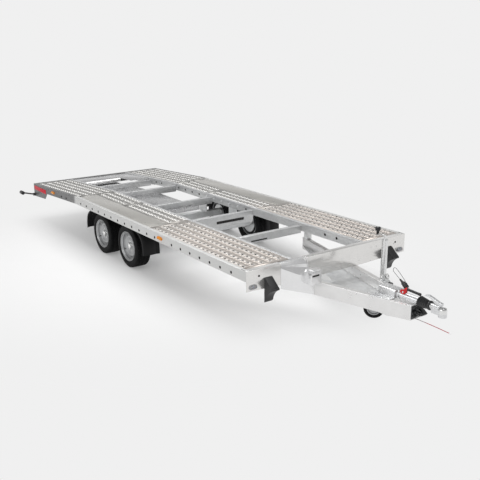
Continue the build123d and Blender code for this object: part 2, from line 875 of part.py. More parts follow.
def plate_panel():
    """Blank panel for the number plate, below the rear beam's middle."""
    z = deck_z(bed_rear_x) - rear_beam_depth / 2
    x = bed_rear_x - joint_gap
    return block((x - plate_sheet, x), (-plate_length / 2, plate_length / 2),
                 (z - plate_height / 2, z + plate_height / 2))


def outline_lamp():
    """Marker lamp on a flexible rubber arm that stands out from the rear corner."""
    x = bed_rear_x + outline_lamp_inset
    root_y = half_width + joint_gap
    root_z = deck_z(bed_rear_x) - outline_root_drop
    lens_y, lens_z = half_width + outline_lamp_reach, root_z + outline_lamp_rise
    foot = rod((x, root_y, root_z), (x, root_y + outline_foot, root_z), outline_foot_radius)
    arm = rod((x, root_y + outline_foot / 2, root_z), (x, lens_y, lens_z), outline_arm_radius)
    half = outline_lens_length / 2
    return foot + arm + rod((x - half, lens_y, lens_z), (x + half, lens_y, lens_z), outline_lens_radius)


def wheel_chock():
    """Wedge stored on the front board: straight back, straight face above, hollow face below."""
    x = bed_front_x + board_wall + joint_gap
    y = half_width - chock_margin
    top, low = chock_top_z, chock_top_z - chock_length
    tip = (x + chock_reach, top - chock_tip_drop)
    centre_x, centre_z = x + chock_hollow_centre[0], low + chock_hollow_centre[1]
    body = prism_y([(x, top), (x + chock_edge, top), tip, (tip[0], tip[1] - chock_edge),
                    (x + chock_edge, low), (x, low)], y - chock_width / 2, y + chock_width / 2)
    hollow = rod((centre_x, y - chock_width, centre_z), (centre_x, y + chock_width, centre_z),
                 chock_hollow_radius)
    return body - hollow


# ---------------------------------------------------------------- coupling

def about_coupling(points):
    """Solid turned about the coupling's own axis from (x, radius) points."""
    face = make_face(Polyline(*[(x, 0, coupling_z + r) for x, r in points], close=True))
    return revolve(face, axis=Axis((0, 0, coupling_z), (1, 0, 0)))


def sleeve_shape(gap):
    """The sleeve's outside, grown by a gap for the pieces that sit on it."""
    rear, collar = overrun_body_x[1] - sleeve_root, overrun_body_x[1] + sleeve_collar
    return about_coupling([(rear, 0), (sleeve_front_x, 0), (sleeve_front_x, sleeve_neck_radius + gap),
                           (collar, sleeve_neck_radius + gap), (collar, sleeve_radius + gap),
                           (rear, sleeve_radius + gap)])


def overrun_body():
    """Foot plate across the arms, mounting block, and the sleeve that guides the draw tube."""
    x = overrun_body_x
    low = arm_top + joint_gap
    edge = [arm_outer_y(station) - foot_margin for station in x]
    foot = prism_z([(x[0], -edge[0]), (x[1], -edge[1]), (x[1], edge[1]), (x[0], edge[0])],
                   low, low + foot_sheet)
    half = overrun_body_width / 2
    base = block(x, (-half, half), (low, low + overrun_body_height))
    base = fillet(base.edges().filter_by(Axis.X).group_by(Axis.Z)[-1], base_round)
    below = block((x[0] - 1, sleeve_front_x + 1), (-half, half), (low - sleeve_radius, low))
    return base + foot + sleeve_shape(0) - below


def bellows():
    """Ribbed rubber boot between the sleeve and the coupling head."""
    length = bellows_front_x - bellows_rear_x
    points = [(bellows_rear_x, 0)]
    for i in range(bellows_ribs):
        t = i / (bellows_ribs - 1)
        radius = bellows_rear_radius + (bellows_front_radius - bellows_rear_radius) * t
        x = bellows_rear_x + length * i / bellows_ribs
        points += [(x, radius - bellows_rib_depth), (x + length / bellows_ribs / 2, radius)]
    points += [(bellows_front_x, bellows_front_radius - bellows_rib_depth), (bellows_front_x, 0)]
    return about_coupling(points)


def coupling_head():
    """Shank and ball cup, open below for the ball."""
    x_rear = bellows_front_x + joint_gap
    x_front = head_ball_x - ball_radius
    shank = about_coupling([(x_rear, 0), (x_front, 0), (x_front, head_shank_radius),
                            (x_rear, head_shank_radius)])
    cavity = ball_radius + cup_clearance
    dome = Pos(head_ball_x, 0, ball_z) * Sphere(cup_radius)
    skirt = rod((head_ball_x, 0, ball_z - cup_drop), (head_ball_x, 0, ball_z), cup_radius)
    neck_x = x_rear + neck_lead
    neck_y = (head_shank_radius - neck_inset, cup_radius - 1)
    neck = prism_z([(neck_x, -neck_y[0]), (head_ball_x, -neck_y[1]), (head_ball_x, neck_y[1]),
                    (neck_x, neck_y[0])], ball_z - cup_drop / 2, coupling_z)
    below = block((head_ball_x - cup_radius - 1, head_ball_x + cup_radius + 1),
                  (-cup_radius - 1, cup_radius + 1), (ball_z - 2 * cup_radius, ball_z - cup_drop))
    whole = shank + dome + skirt + neck - below
    whole -= Pos(head_ball_x, 0, ball_z) * Sphere(cavity)
    whole -= rod((head_ball_x, 0, ball_z - cup_drop - 1), (head_ball_x, 0, ball_z), cavity)
    return whole


def coupling_handle():
    """Lever above the head, bent up at its rear end."""
    base = coupling_z + head_shank_radius + joint_gap
    outline = [(head_ball_x + x, base + z) for x, z in handle_outline]
    return prism_y(outline, -handle_width / 2, handle_width / 2)


def handbrake():
    """Pivot plate on the sleeve with the lever's flat shank rising to the grip."""
    y = (handbrake_y - handbrake_sheet / 2, handbrake_y + handbrake_sheet / 2)
    grip_z = coupling_z + sleeve_radius + handbrake_lift
    pivot_z = coupling_z + sleeve_radius + pivot_lift
    heel_x = handbrake_x - handbrake_heel
    half = handbrake_half_depth
    plate = prism_y([(heel_x, coupling_z), (handbrake_x + handbrake_toe, coupling_z),
                     (grip_rear_x, grip_z - half), (grip_rear_x, grip_z + half),
                     (handbrake_x - handbrake_knee, grip_z), (heel_x, pivot_z)], *y)
    pivot = rod((handbrake_x, y[0] - pivot_reach, pivot_z), (handbrake_x, y[1] + pivot_reach, pivot_z),
                pivot_radius)
    return plate + pivot - sleeve_shape(joint_gap)


def handbrake_grip():
    """Plastic grip on the lever's end."""
    middle = coupling_z + sleeve_radius + handbrake_lift
    start = (grip_rear_x + 3 * joint_gap, handbrake_y, middle)
    end = (grip_rear_x + grip_length, handbrake_y, middle - grip_fall)
    return rod(start, end, grip_radius)


def brake_linkage():
    """Dark lever and link of the overrun brake, hung on the arms' front ends."""
    x = linkage_rear_x
    plate = block((x, x + linkage_sheet), (-arm_front_y, arm_front_y),
                  (linkage_low, arm_top - linkage_top_drop))
    outline = [(x + dx, arm_top + dz) for dx, dz in linkage_outline] + [(x, linkage_low)]
    return plate + prism_y(outline, -linkage_width / 2, linkage_width / 2)


def breakaway_cable():
    """Short stiff safety cable that stands out forwards below the coupling."""
    root = (linkage_rear_x + linkage_sheet, cable_y, linkage_low + cable_rise)
    return cord(root, cable_steps, cable_radius)


def plug_shape(gap):
    """The plug's body and tapered boot, grown by a gap for the saddle below it."""
    rise = degrees(atan2(cord_steps[1][2], -cord_steps[1][0]))
    boot, whole = plug_boot_length, plug_boot_length + plug_length
    waist = [boot + at for at in plug_waist_at]
    root, tip = plug_boot_radii
    points = [(0, 0), (0, tip), (plug_boot_tip, tip), (boot, root), (boot, plug_waist),
              (waist[0], plug_waist), (waist[1], plug_radius), (whole - plug_edge[0], plug_radius),
              (whole, plug_radius - plug_edge[1]), (whole, 0)]
    face = make_face(Polyline(*[(x, 0, r + gap if r else 0) for x, r in points], close=True))
    return Pos(*plug_boot_end) * Rot(0, rise, 0) * revolve(face, axis=Axis((0, 0, 0), (1, 0, 0)))


def plug():
    """Round plug, tilted as it parks, with the lug that its cord returns to."""
    root = Vector(*plug_boot_end)
    before, last = root + Vector(*cord_steps[-2]), root + Vector(*cord_steps[-1])
    end = last + (last - before).normalized() * lug_length
    return plug_shape(0) + rod(tuple(last), tuple(end), lug_radius)


def plug_holder():
    """Post on the sleeve with a saddle that the parked plug lies in."""
    y = (plug_boot_end[1] - holder_half_width, plug_boot_end[1] + holder_half_width)
    post = block(holder_x, y, (coupling_z, holder_top))
    return post - sleeve_shape(joint_gap) - plug_shape(joint_gap)


def plug_cord():
    """Stiff loop of cord from the plug's boot up, round and back down to its lug."""
    return cord(plug_boot_end, cord_steps, cord_radius)


# ---------------------------------------------------------------- jockey wheel

def jockey_clamp():
    """Split ring around the outer tube, bolted to the left arm's outer face."""
    z = (arm_bottom + clamp_margin, arm_top - clamp_margin)
    outer = jockey_tube_radius + clamp_wall
    ring = rod((jockey_x, jockey_y, z[0]), (jockey_x, jockey_y, z[1]), outer)
    ends = (jockey_x - clamp_half_length, jockey_x + clamp_half_length)
    face_y = [arm_outer_y(x) + joint_gap for x in ends]
    foot = prism_z([(ends[0], face_y[0]), (ends[1], face_y[1]), (ends[1], face_y[1] + clamp_foot),
                    (ends[0], face_y[0] + clamp_foot)], *z)
    screw_z = z[1] - clamp_screw_drop
    screw = rod((jockey_x + jockey_tube_radius, jockey_y, screw_z),
                (jockey_x + outer + clamp_screw_length, jockey_y, screw_z), clamp_screw_radius)
    bore = rod((jockey_x, jockey_y, z[0] - 1), (jockey_x, jockey_y, z[1] + 1), jockey_tube_radius + joint_gap)
    arm_side = prism_z([(ends[0], face_y[0]), (ends[1], face_y[1]), (ends[1], 0), (ends[0], 0)],
                       z[0] - 1, z[1] + 1)
    return (ring + foot + screw) - bore - arm_side


def jockey_tube():
    """Outer tube with its capped top, which the inner tube winds into."""
    outer = rod((jockey_x, jockey_y, jockey_tube_bottom), (jockey_x, jockey_y, jockey_tube_top),
                jockey_tube_radius)
    bore = rod((jockey_x, jockey_y, jockey_tube_bottom - 1),
               (jockey_x, jockey_y, jockey_tube_top - jockey_cap), jockey_inner_radius + joint_gap)
    return outer - bore


def jockey_crank():
    """Winding handle on the tube's top with its knob."""
    low = jockey_tube_top + joint_gap
    shaft = rod((jockey_x, jockey_y, low), (jockey_x, jockey_y, low + crank_height),
                crank_radius + crank_boss_rim)
    end = (jockey_x - crank_throw, jockey_y, low + crank_height - crank_radius)
    arm = rod((jockey_x, jockey_y, low + crank_height - crank_radius), end, crank_radius)
    knob = rod(end, (end[0], end[1], end[2] + knob_length), knob_radius)
    return shaft + arm + knob


def jockey_leg():
    """Inner tube that slides in the outer tube."""
    return rod((jockey_x, jockey_y, jockey_inner_bottom),
               (jockey_x, jockey_y, jockey_inner_bottom + jockey_leg_length), jockey_inner_radius)


def jockey_fork():
    """Swivelling fork: top plate, two cheeks and the wheel's axle."""
    dx, dy = jockey_trail
    trail = hypot(dx, dy)
    turn = degrees(atan2(dy, dx))
    inner = jockey_wheel_width / 2 + fork_gap
    outer = inner + fork_sheet
    top = jockey_inner_bottom - joint_gap
    plate = block((-fork_top_radius, trail + fork_plate_reach), (-outer, outer), (top - fork_sheet, top))
    cheeks = []
    for y in ((inner, outer), (-outer, -inner)):
        cheeks.append(prism_y([(-fork_top_radius, top), (trail + fork_plate_reach, top),
                               (trail + fork_toe, axle_low), (trail - fork_toe, axle_low)], *y))
    pin_end = outer + fork_pin_head
    pin = rod((trail, -pin_end, jockey_wheel_radius), (trail, pin_end, jockey_wheel_radius),
              jockey_axle_radius)
    fork = plate + cheeks[0] + cheeks[1] + pin
    return Pos(jockey_x, jockey_y, 0) * Rot(0, 0, turn) * fork


def about_jockey(points):
    """Solid turned about the jockey wheel's axle from (width, radius) points."""
    dx, dy = jockey_trail
    turn = degrees(atan2(dy, dx))
    face = make_face(Polyline(*[(0, w, r) for w, r in points], close=True))
    solid = revolve(face, axis=Axis((0, 0, 0), (0, 1, 0)))
    return Pos(jockey_x + dx, jockey_y + dy, jockey_wheel_radius) * Rot(0, 0, turn) * solid


def jockey_tyre():
    """Solid tyre with rounded shoulders."""
    half, edge = jockey_wheel_width / 2, jockey_shoulder
    bead = half - jockey_bead_inset
    return about_jockey([(-bead, jockey_hub_radius), (-half, jockey_wheel_radius - edge),
                         (-half + edge, jockey_wheel_radius), (half - edge, jockey_wheel_radius),
                         (half, jockey_wheel_radius - edge), (bead, jockey_hub_radius)])


def jockey_hub():
    """Rim, web and boss, bored for the fork's pin."""
    rim_r = jockey_hub_radius - joint_gap
    side = jockey_wheel_width / 2 - jockey_hub_inset
    boss = jockey_wheel_width / 2 - jockey_boss_inset
    wall, well = rim_r - jockey_rim_wall, rim_r - jockey_rim_well
    web = jockey_web_half
    bore = jockey_axle_radius + joint_gap
    root, face = jockey_boss_radii
    return about_jockey([(-side, rim_r), (side, rim_r), (side, wall), (web, well), (web, root),
                         (boss, face), (boss, bore), (-boss, bore), (-boss, face), (-web, root),
                         (-web, well), (-side, wall)])


# ---------------------------------------------------------------- write every piece

os.makedirs("parts", exist_ok=True)

write_pair("side_rail", side_rail())
write_set("inner_rails", inner_rail())
write_pair("deck_track", deck_track())
write_set("wheel_covers", wheel_cover())
write("cross_members", *cross_members())
write("rear_beam", rear_beam())
write("rear_panel", rear_panel(), *infill_plates())
write("rear_roller", rear_roller())
write("front_board", front_board())

write_pair("drawbar_arm", drawbar_arm())
write_set("arm_brackets", arm_bracket())
write("drawbar_tray", drawbar_tray())
write("drawbar_cover", drawbar_cover())
write("cover_latch", cover_latch())

for name, station in wheel_stations.items():
    write(f"axle_{name}", axle(station))
    write_pair(f"tyre_{name}", tyre(station))
    write_pair(f"rim_{name}", rim(station))
    write_pair(f"drum_{name}", drum(station))
write_set("axle_hangers", *[axle_hanger(station) for station in wheel_stations.values()])
write_pair("mudguard", mudguard())
write_set("guard_posts", guard_post())

write_set("side_lamps", side_lamp(bed_rear_x + side_lamp_tail), side_lamp(side_lamp_front_x))
write_set("front_lamps", front_lamp())
write_set("side_strips", side_strip())
write_set("tail_lamps", tail_lamp())
write("plate_panel", plate_panel())
write_set("outline_lamps", outline_lamp())
write_set("wheel_chocks", wheel_chock())

write("overrun_body", overrun_body())
write("bellows", bellows())
write("coupling_head", coupling_head())
write("coupling_handle", coupling_handle())
write("handbrake", handbrake())
write("handbrake_grip", handbrake_grip())
write("brake_linkage", brake_linkage())
write("breakaway_cable", breakaway_cable())
write("plug_holder", plug_holder())
write("plug_cord", plug_cord())
write("plug", plug())

write("jockey_clamp", jockey_clamp())
write("jockey_tube", jockey_tube())
write("jockey_crank", jockey_crank())
write("jockey_leg", jockey_leg())
write("jockey_fork", jockey_fork())
write("jockey_tyre", jockey_tyre())
write("jockey_hub", jockey_hub())
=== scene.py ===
"""Looks of the tandem-axle car trailer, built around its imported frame. Metres; +X forward, +Y left, +Z up."""

import bmesh
import bpy
import json
from math import atan2, ceil, cos, floor, pi, radians, sin
from mathutils import Matrix, Vector

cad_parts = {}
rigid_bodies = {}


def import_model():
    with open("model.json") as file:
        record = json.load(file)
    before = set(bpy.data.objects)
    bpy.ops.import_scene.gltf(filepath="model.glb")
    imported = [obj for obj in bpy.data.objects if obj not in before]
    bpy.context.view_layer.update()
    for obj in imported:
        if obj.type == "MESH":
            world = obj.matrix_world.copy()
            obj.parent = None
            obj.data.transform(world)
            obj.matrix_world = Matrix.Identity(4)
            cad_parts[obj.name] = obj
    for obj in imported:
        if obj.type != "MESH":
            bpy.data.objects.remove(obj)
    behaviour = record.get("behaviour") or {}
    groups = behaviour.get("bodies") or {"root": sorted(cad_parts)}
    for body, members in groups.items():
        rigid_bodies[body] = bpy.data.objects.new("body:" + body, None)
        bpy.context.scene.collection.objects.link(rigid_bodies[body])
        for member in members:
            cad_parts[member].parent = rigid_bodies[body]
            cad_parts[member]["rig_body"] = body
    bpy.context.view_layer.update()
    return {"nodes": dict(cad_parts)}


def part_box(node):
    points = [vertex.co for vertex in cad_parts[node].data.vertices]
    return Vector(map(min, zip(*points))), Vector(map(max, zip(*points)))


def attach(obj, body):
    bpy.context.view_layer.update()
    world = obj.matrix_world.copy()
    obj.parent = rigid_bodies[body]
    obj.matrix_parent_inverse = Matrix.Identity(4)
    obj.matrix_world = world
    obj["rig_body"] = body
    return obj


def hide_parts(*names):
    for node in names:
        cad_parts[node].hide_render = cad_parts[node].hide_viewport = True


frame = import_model()
nodes = frame["nodes"]
SIDES = {"left": 1, "right": -1}
AXLES = ("front", "rear")


def middle(node):
    """Centre of a node's box."""
    low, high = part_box(node)
    return (low + high) / 2


# ---- places read from the frame

rail_low, rail_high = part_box("side_rail_left")
deck_top = rail_high.z
half_width = rail_high.y
bed_rear_x = rail_low.x
rail_points = [v.co for v in nodes["side_rail_left"].data.vertices]
kink_x = min(p.x for p in rail_points if p.z > deck_top - 1e-4)
rear_top = max(p.z for p in rail_points if p.x < bed_rear_x + 1e-4)
wheel_x = {axle: middle(f"tyre_{axle}_left").x for axle in AXLES}
zero_x = (wheel_x["front"] + wheel_x["rear"]) / 2
wheel_y = middle("tyre_front_left").y
wheel_z = middle("tyre_front_left").z
tyre_low, tyre_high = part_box("tyre_front_left")
tyre_radius = (tyre_high.z - tyre_low.z) / 2


def at(station):
    """Frame x of a station, measured forwards from midway between the axles."""
    return zero_x + station


def deck_z(x):
    """Height of the deck's top surface."""
    return deck_top - (deck_top - rear_top) * max(0, kink_x - x) / (kink_x - bed_rear_x)


# ---- shader helpers

MATS = {}


def new_material(name):
    """Node tree of a new finish, kept by its name."""
    mat = MATS[name] = bpy.data.materials.new(name)
    mat.use_nodes = True
    return mat.node_tree


def add_node(tree, kind, links=(), **values):
    """One shader node; values set its sockets by name or its own properties."""
    node = tree.nodes.new(kind)
    for key, value in values.items():
        if hasattr(node, key):
            setattr(node, key, value)
        else:
            node.inputs[key.replace("_", " ")].default_value = value
    for source, socket in links:
        tree.links.new(source, node.inputs[socket])
    return node


def object_place(tree):
    return add_node(tree, "ShaderNodeTexCoord").outputs["Object"]


def noise(tree, scale, detail=4.0, stretch=(1, 1, 1)):
    """Value of a noise in object space, stretched along chosen axes."""
    spread = add_node(tree, "ShaderNodeMapping", [(object_place(tree), "Vector")], Scale=stretch)
    links = [(spread.outputs["Vector"], "Vector")]
    return add_node(tree, "ShaderNodeTexNoise", links, Scale=scale, Detail=detail).outputs["Fac"]


def spangle(tree, scale):
    """One random value for each crystal of a zinc coat."""
    cells = add_node(tree, "ShaderNodeTexVoronoi", [(object_place(tree), "Vector")], Scale=scale)
    return add_node(tree, "ShaderNodeSeparateColor", [(cells.outputs["Color"], "Color")]).outputs["Red"]


def spread_between(tree, value, low, high, start=0.3, end=0.7):
    """The value mapped to a range of roughness, height or the like."""
    return add_node(tree, "ShaderNodeMapRange", [(value, "Value")], From_Min=start, From_Max=end, To_Min=low,
                    To_Max=high).outputs["Result"]


def two_tone(tree, value, dark, light, start=0.3, end=0.7):
    """Colour that goes from dark to light with the value."""
    ramp = add_node(tree, "ShaderNodeValToRGB", [(value, "Fac")])
    for stop, position, colour in zip(ramp.color_ramp.elements, (start, end), (dark, light)):
        stop.position = position
        stop.color = (*colour, 1)
    return ramp.outputs["Color"]


def tint_along(tree, rear, front, start, end):
    """Colour that changes from one x to another along the trailer."""
    along = add_node(tree, "ShaderNodeSeparateXYZ", [(object_place(tree), "Vector")]).outputs["X"]
    share = spread_between(tree, along, 0.0, 1.0, start, end)
    mixed = add_node(tree, "ShaderNodeMixRGB", [(share, "Fac")], Color1=(*rear, 1), Color2=(*front, 1))
    return mixed.outputs["Color"]


def times(tree, first, second):
    """Product of two colours."""
    links = [(first, "Color1"), (second, "Color2")]
    return add_node(tree, "ShaderNodeMixRGB", links, blend_type="MULTIPLY", Fac=1.0).outputs["Color"]


def dress(tree, colour, roughness, bumps, strength, **sockets):
    """Links a finish's colour, roughness and (value, distance) bumps; sockets sets other inputs by name."""
    shader = tree.nodes["Principled BSDF"]
    tree.links.new(colour, shader.inputs["Base Color"])
    tree.links.new(roughness, shader.inputs["Roughness"])
    normal = None
    for value, distance in bumps:
        links = [(value, "Height")] + ([] if normal is None else [(normal, "Normal")])
        node = add_node(tree, "ShaderNodeBump", links, Strength=strength, Distance=distance)
        normal = node.outputs["Normal"]
    tree.links.new(normal, shader.inputs["Normal"])
    for socket, number in sockets.items():
        shader.inputs[socket.replace("_", " ")].default_value = number


def shade(share, colour):
    return tuple(channel * share for channel in colour)


# ---- finishes

def zinc(name, colour, metallic, rough, grain=55, spread=0.1):
    """Galvanised or plated metal: mottled spangle, soft stains and a fine grain."""
    tree = new_material(name)
    crystals, cloud, fine = spangle(tree, grain), noise(tree, 5.0, 5.0), noise(tree, 900.0, 2.0)
    base = two_tone(tree, crystals, shade(1 - spread, colour), colour, 0.0, 1.0)
    stain = two_tone(tree, cloud, (0.9, 0.9, 0.91), (1, 1, 1), 0.35, 0.62)
    roughness = spread_between(tree, crystals, rough - 0.06, rough + 0.08, 0, 1)
    dress(tree, times(tree, base, stain), roughness, [(cloud, 0.0006), (fine, 0.00008)], 0.35,
          Metallic=metallic)


def moulded(name, colour, rough, grain=600.0, depth=0.0002, coat=0.0, patch=0.75):
    """Moulded plastic, rubber or paint: fine grain with a slightly uneven sheen."""
    tree = new_material(name)
    cloud = noise(tree, 9.0)
    dress(tree, two_tone(tree, cloud, shade(patch, colour), colour),
          spread_between(tree, cloud, rough - 0.06, rough + 0.06), [(noise(tree, grain, 3.0), depth)], 0.5,
          Coat_Weight=coat, Coat_Roughness=0.12)


def matt(name, colour, rough=0.62, gloss=0.2, patch=0.8):
    """Dull rubber, plastic or the near-black painted-shade lining: little gloss, faint cloudiness and a fine
    grain.
    """
    tree = new_material(name)
    cloud = noise(tree, 9.0)
    dress(tree, two_tone(tree, cloud, shade(patch, colour), colour),
          spread_between(tree, cloud, rough - 0.05, rough + 0.05), [(noise(tree, 500.0, 3.0), 0.0003)], 0.4,
          Specular_IOR_Level=gloss)


def lens(name, colour, cell=130.0, shine=0.8):
    """Lamp lens: glossy plastic over a field of small optic cells."""
    tree = new_material(name)
    links = [(object_place(tree), "Vector")]
    cells = add_node(tree, "ShaderNodeTexVoronoi", links, Scale=cell, Randomness=0.0).outputs["Distance"]
    dress(tree, two_tone(tree, cells, colour, shade(0.62, colour), 0.0, 0.6),
          spread_between(tree, noise(tree, 20.0), 0.1, 0.2), [(cells, 0.0008)], 0.3,
          Coat_Weight=shine, Coat_Roughness=0.05, Subsurface_Weight=0.15)


def sheet(name, colour, rough, metallic=0.88, wave=0.0005, spread=0.05):
    """Smooth rolled sheet: soft broad waves and faint stains under a fine even grain."""
    tree = new_material(name)
    cloud = noise(tree, 11.0)
    dress(tree, two_tone(tree, cloud, shade(1 - spread, colour), colour, 0.35, 0.65),
          spread_between(tree, cloud, rough - 0.03, rough + 0.04),
          [(noise(tree, 1.7, 2.0), wave), (noise(tree, 1400.0, 2.0), 0.00002)], 0.25, Metallic=metallic)


def deck_finish(name, front, rear):
    """Perforated sheet: warm in front, greyer towards the tail, with rolled lines and stains."""
    tree = new_material(name)
    lines, cloud = noise(tree, 240.0, stretch=(0.03, 1, 1)), noise(tree, 4.0, 5.0)
    stain = two_tone(tree, cloud, (0.9, 0.9, 0.9), (1, 1, 1), 0.35, 0.62)
    colour = times(tree, tint_along(tree, rear, front, at(0.5), at(1.6)), stain)
    dress(tree, colour, spread_between(tree, lines, 0.3, 0.42), [(lines, 0.00008), (cloud, 0.0006)], 0.3,
          Metallic=0.75)


def rail_finish(name, front, rear, rough, metallic):
    """Galvanised rail: bright along the level bed and darker along the sloping tail."""
    tree = new_material(name)
    crystals = spangle(tree, 60.0)
    grain = two_tone(tree, crystals, (0.95, 0.95, 0.955), (1, 1, 1), 0.0, 1.0)
    colour = times(tree, tint_along(tree, rear, front, kink_x - 0.06, kink_x + 0.01), grain)
    dress(tree, colour, spread_between(tree, crystals, rough - 0.04, rough + 0.06, 0, 1),
          [(noise(tree, 5.0, stretch=(0.4, 1, 1)), 0.0004)], 0.3, Metallic=metallic)


def two_part(name, near, far, station):
    """Sheath of one colour up to a station and of another beyond it."""
    tree = new_material(name)
    colour = tint_along(tree, near, far, at(station - 0.03), at(station + 0.03))
    dress(tree, colour, spread_between(tree, noise(tree, 60.0), 0.3, 0.42),
          [(noise(tree, 900.0, 2.0), 0.00005)], 0.4)


zinc("galvanised", (0.74, 0.75, 0.75), 0.72, 0.42)
zinc("bed_steel", (0.64, 0.645, 0.645), 0.72, 0.38)
zinc("infill_steel", (0.6, 0.6, 0.605), 0.85, 0.24, grain=14, spread=0.14)
zinc("zinc_head", (0.78, 0.785, 0.79), 0.85, 0.3, grain=90)
zinc("bright_zinc", (0.83, 0.83, 0.82), 0.95, 0.2, grain=120, spread=0.05)
rail_finish("rail_sheet", (0.6, 0.6, 0.59), (0.17, 0.17, 0.17), 0.42, 0.45)
deck_finish("deck_sheet", (0.53, 0.48, 0.44), (0.31, 0.305, 0.29))
# painted highlight: a much lighter sheet on the tops of the deck's collars and dimples, so each reads as a
# bright glint
sheet("painted_highlight", (0.93, 0.915, 0.89), 0.2, 0.1, wave=0.0, spread=0.03)
sheet("arm_steel", (0.82, 0.815, 0.81), 0.3, 0.72)
sheet("cover_sheet", (0.6, 0.585, 0.55), 0.3, 0.9, wave=0.0002, spread=0.03)
sheet("board_sheet", (0.8, 0.79, 0.775), 0.2, 0.85, wave=0.0002, spread=0.03)
sheet("hood_sheet", (0.86, 0.86, 0.865), 0.16, 0.75, wave=0.0001, spread=0.02)
sheet("wheel_silver", (0.4, 0.405, 0.41), 0.3, 0.72, wave=0.0)
# painted shade: near-black lining for hole walls, slot backs, joint straps and rail holes, standing in for the
# shade inside them
matt("painted_shade", (0.03, 0.028, 0.027))
matt("tyre_rubber", (0.0045, 0.0045, 0.0049), 0.68, 0.18)
matt("guard_plastic", (0.006, 0.006, 0.0066), 0.52, 0.26)
matt("red_plastic", (0.62, 0.012, 0.03), 0.42, 0.25, 0.9)
matt("red_paint", (0.6, 0.012, 0.016), 0.36, 0.35, 0.88)
matt("grey_sheath", (0.022, 0.022, 0.023), 0.45, 0.22, 0.9)
matt("amber_rim", (0.85, 0.29, 0.012), 0.4, 0.25, 0.9)
moulded("cast_iron", (0.05, 0.05, 0.052), 0.6, 300.0, 0.0006)
moulded("black_plastic", (0.012, 0.012, 0.013), 0.4, 700.0)
moulded("black_rubber", (0.02, 0.02, 0.021), 0.36, 500.0, coat=0.2)
moulded("black_paint", (0.016, 0.017, 0.018), 0.34, 800.0, 0.0001, coat=0.3)
moulded("grey_paint", (0.42, 0.43, 0.44), 0.4, 900.0, 0.0001, coat=0.3, patch=0.9)
two_part("cable_sheath", (0.3, 0.27, 0.28), (0.42, 0.008, 0.022), 4.1)
lens("amber_lens", (0.93, 0.33, 0.01), shine=0.25)
lens("clear_lens", (0.82, 0.83, 0.84))
lens("red_lens", (0.62, 0.018, 0.02))
lens("smoke_lens", (0.4, 0.4, 0.42), cell=90.0)

NODE_FINISH = {
    "galvanised": "arm_brackets drawbar_tray axle axle_hangers guard_posts plug_holder jockey_fork",
    "bed_steel": "inner_rails cross_members",
    "rail_sheet": "side_rail rear_beam",
    "infill_steel": "rear_panel",
    "bright_zinc": "rear_roller jockey_clamp jockey_tube jockey_leg jockey_crank",
    "zinc_head": "overrun_body coupling_handle coupling_head",
    "arm_steel": "drawbar_arm",
    "deck_sheet": "deck_track",
    "cover_sheet": "wheel_covers",
    "board_sheet": "front_board",
    "hood_sheet": "drawbar_cover cover_latch",
    "wheel_silver": "rim jockey_hub",
    "cast_iron": "drum",
    "tyre_rubber": "tyre jockey_tyre",
    "guard_plastic": "mudguard",
    "black_plastic": "wheel_chocks handbrake_grip plug plate_panel",
    "black_rubber": "bellows outline_lamps",
    "black_paint": "brake_linkage",
    "red_plastic": "side_strips",
    "red_paint": "handbrake",
    "cable_sheath": "breakaway_cable",
    "grey_sheath": "plug_cord",
    "amber_lens": "side_lamps",
    "clear_lens": "front_lamps",
    "red_lens": "tail_lamps",
}


def finish_for(node):
    """Name of the finish whose word fits the node's name best."""
    fits = [(len(word), finish) for finish, words in NODE_FINISH.items() for word in words.split()
            if node == word or node.startswith(word + "_")]
    return max(fits)[1]


for name, obj in nodes.items():
    obj.data.materials.clear()
    obj.data.materials.append(MATS[finish_for(name)])

# ---- mesh helpers

CORE = 0.0001


def grid(rings, size):
    """Quads between successive closed outlines."""
    return [(i * size + j, i * size + (j + 1) % size, (i + 1) * size + (j + 1) % size, (i + 1) * size + j)
            for i in range(rings - 1) for j in range(size)]


def lathe(steps, size):
    """Quads between closed outlines that stand round an axis."""
    return [(i * size + j, (i + 1) % steps * size + j, (i + 1) % steps * size + (j + 1) % size,
             i * size + (j + 1) % size) for i in range(steps) for j in range(size)]


def capped(rings, size):
    """Faces of a closed body made of like outlines, one on the other."""
    return grid(rings, size) + [tuple(reversed(range(size))), tuple(range((rings - 1) * size, rings * size))]


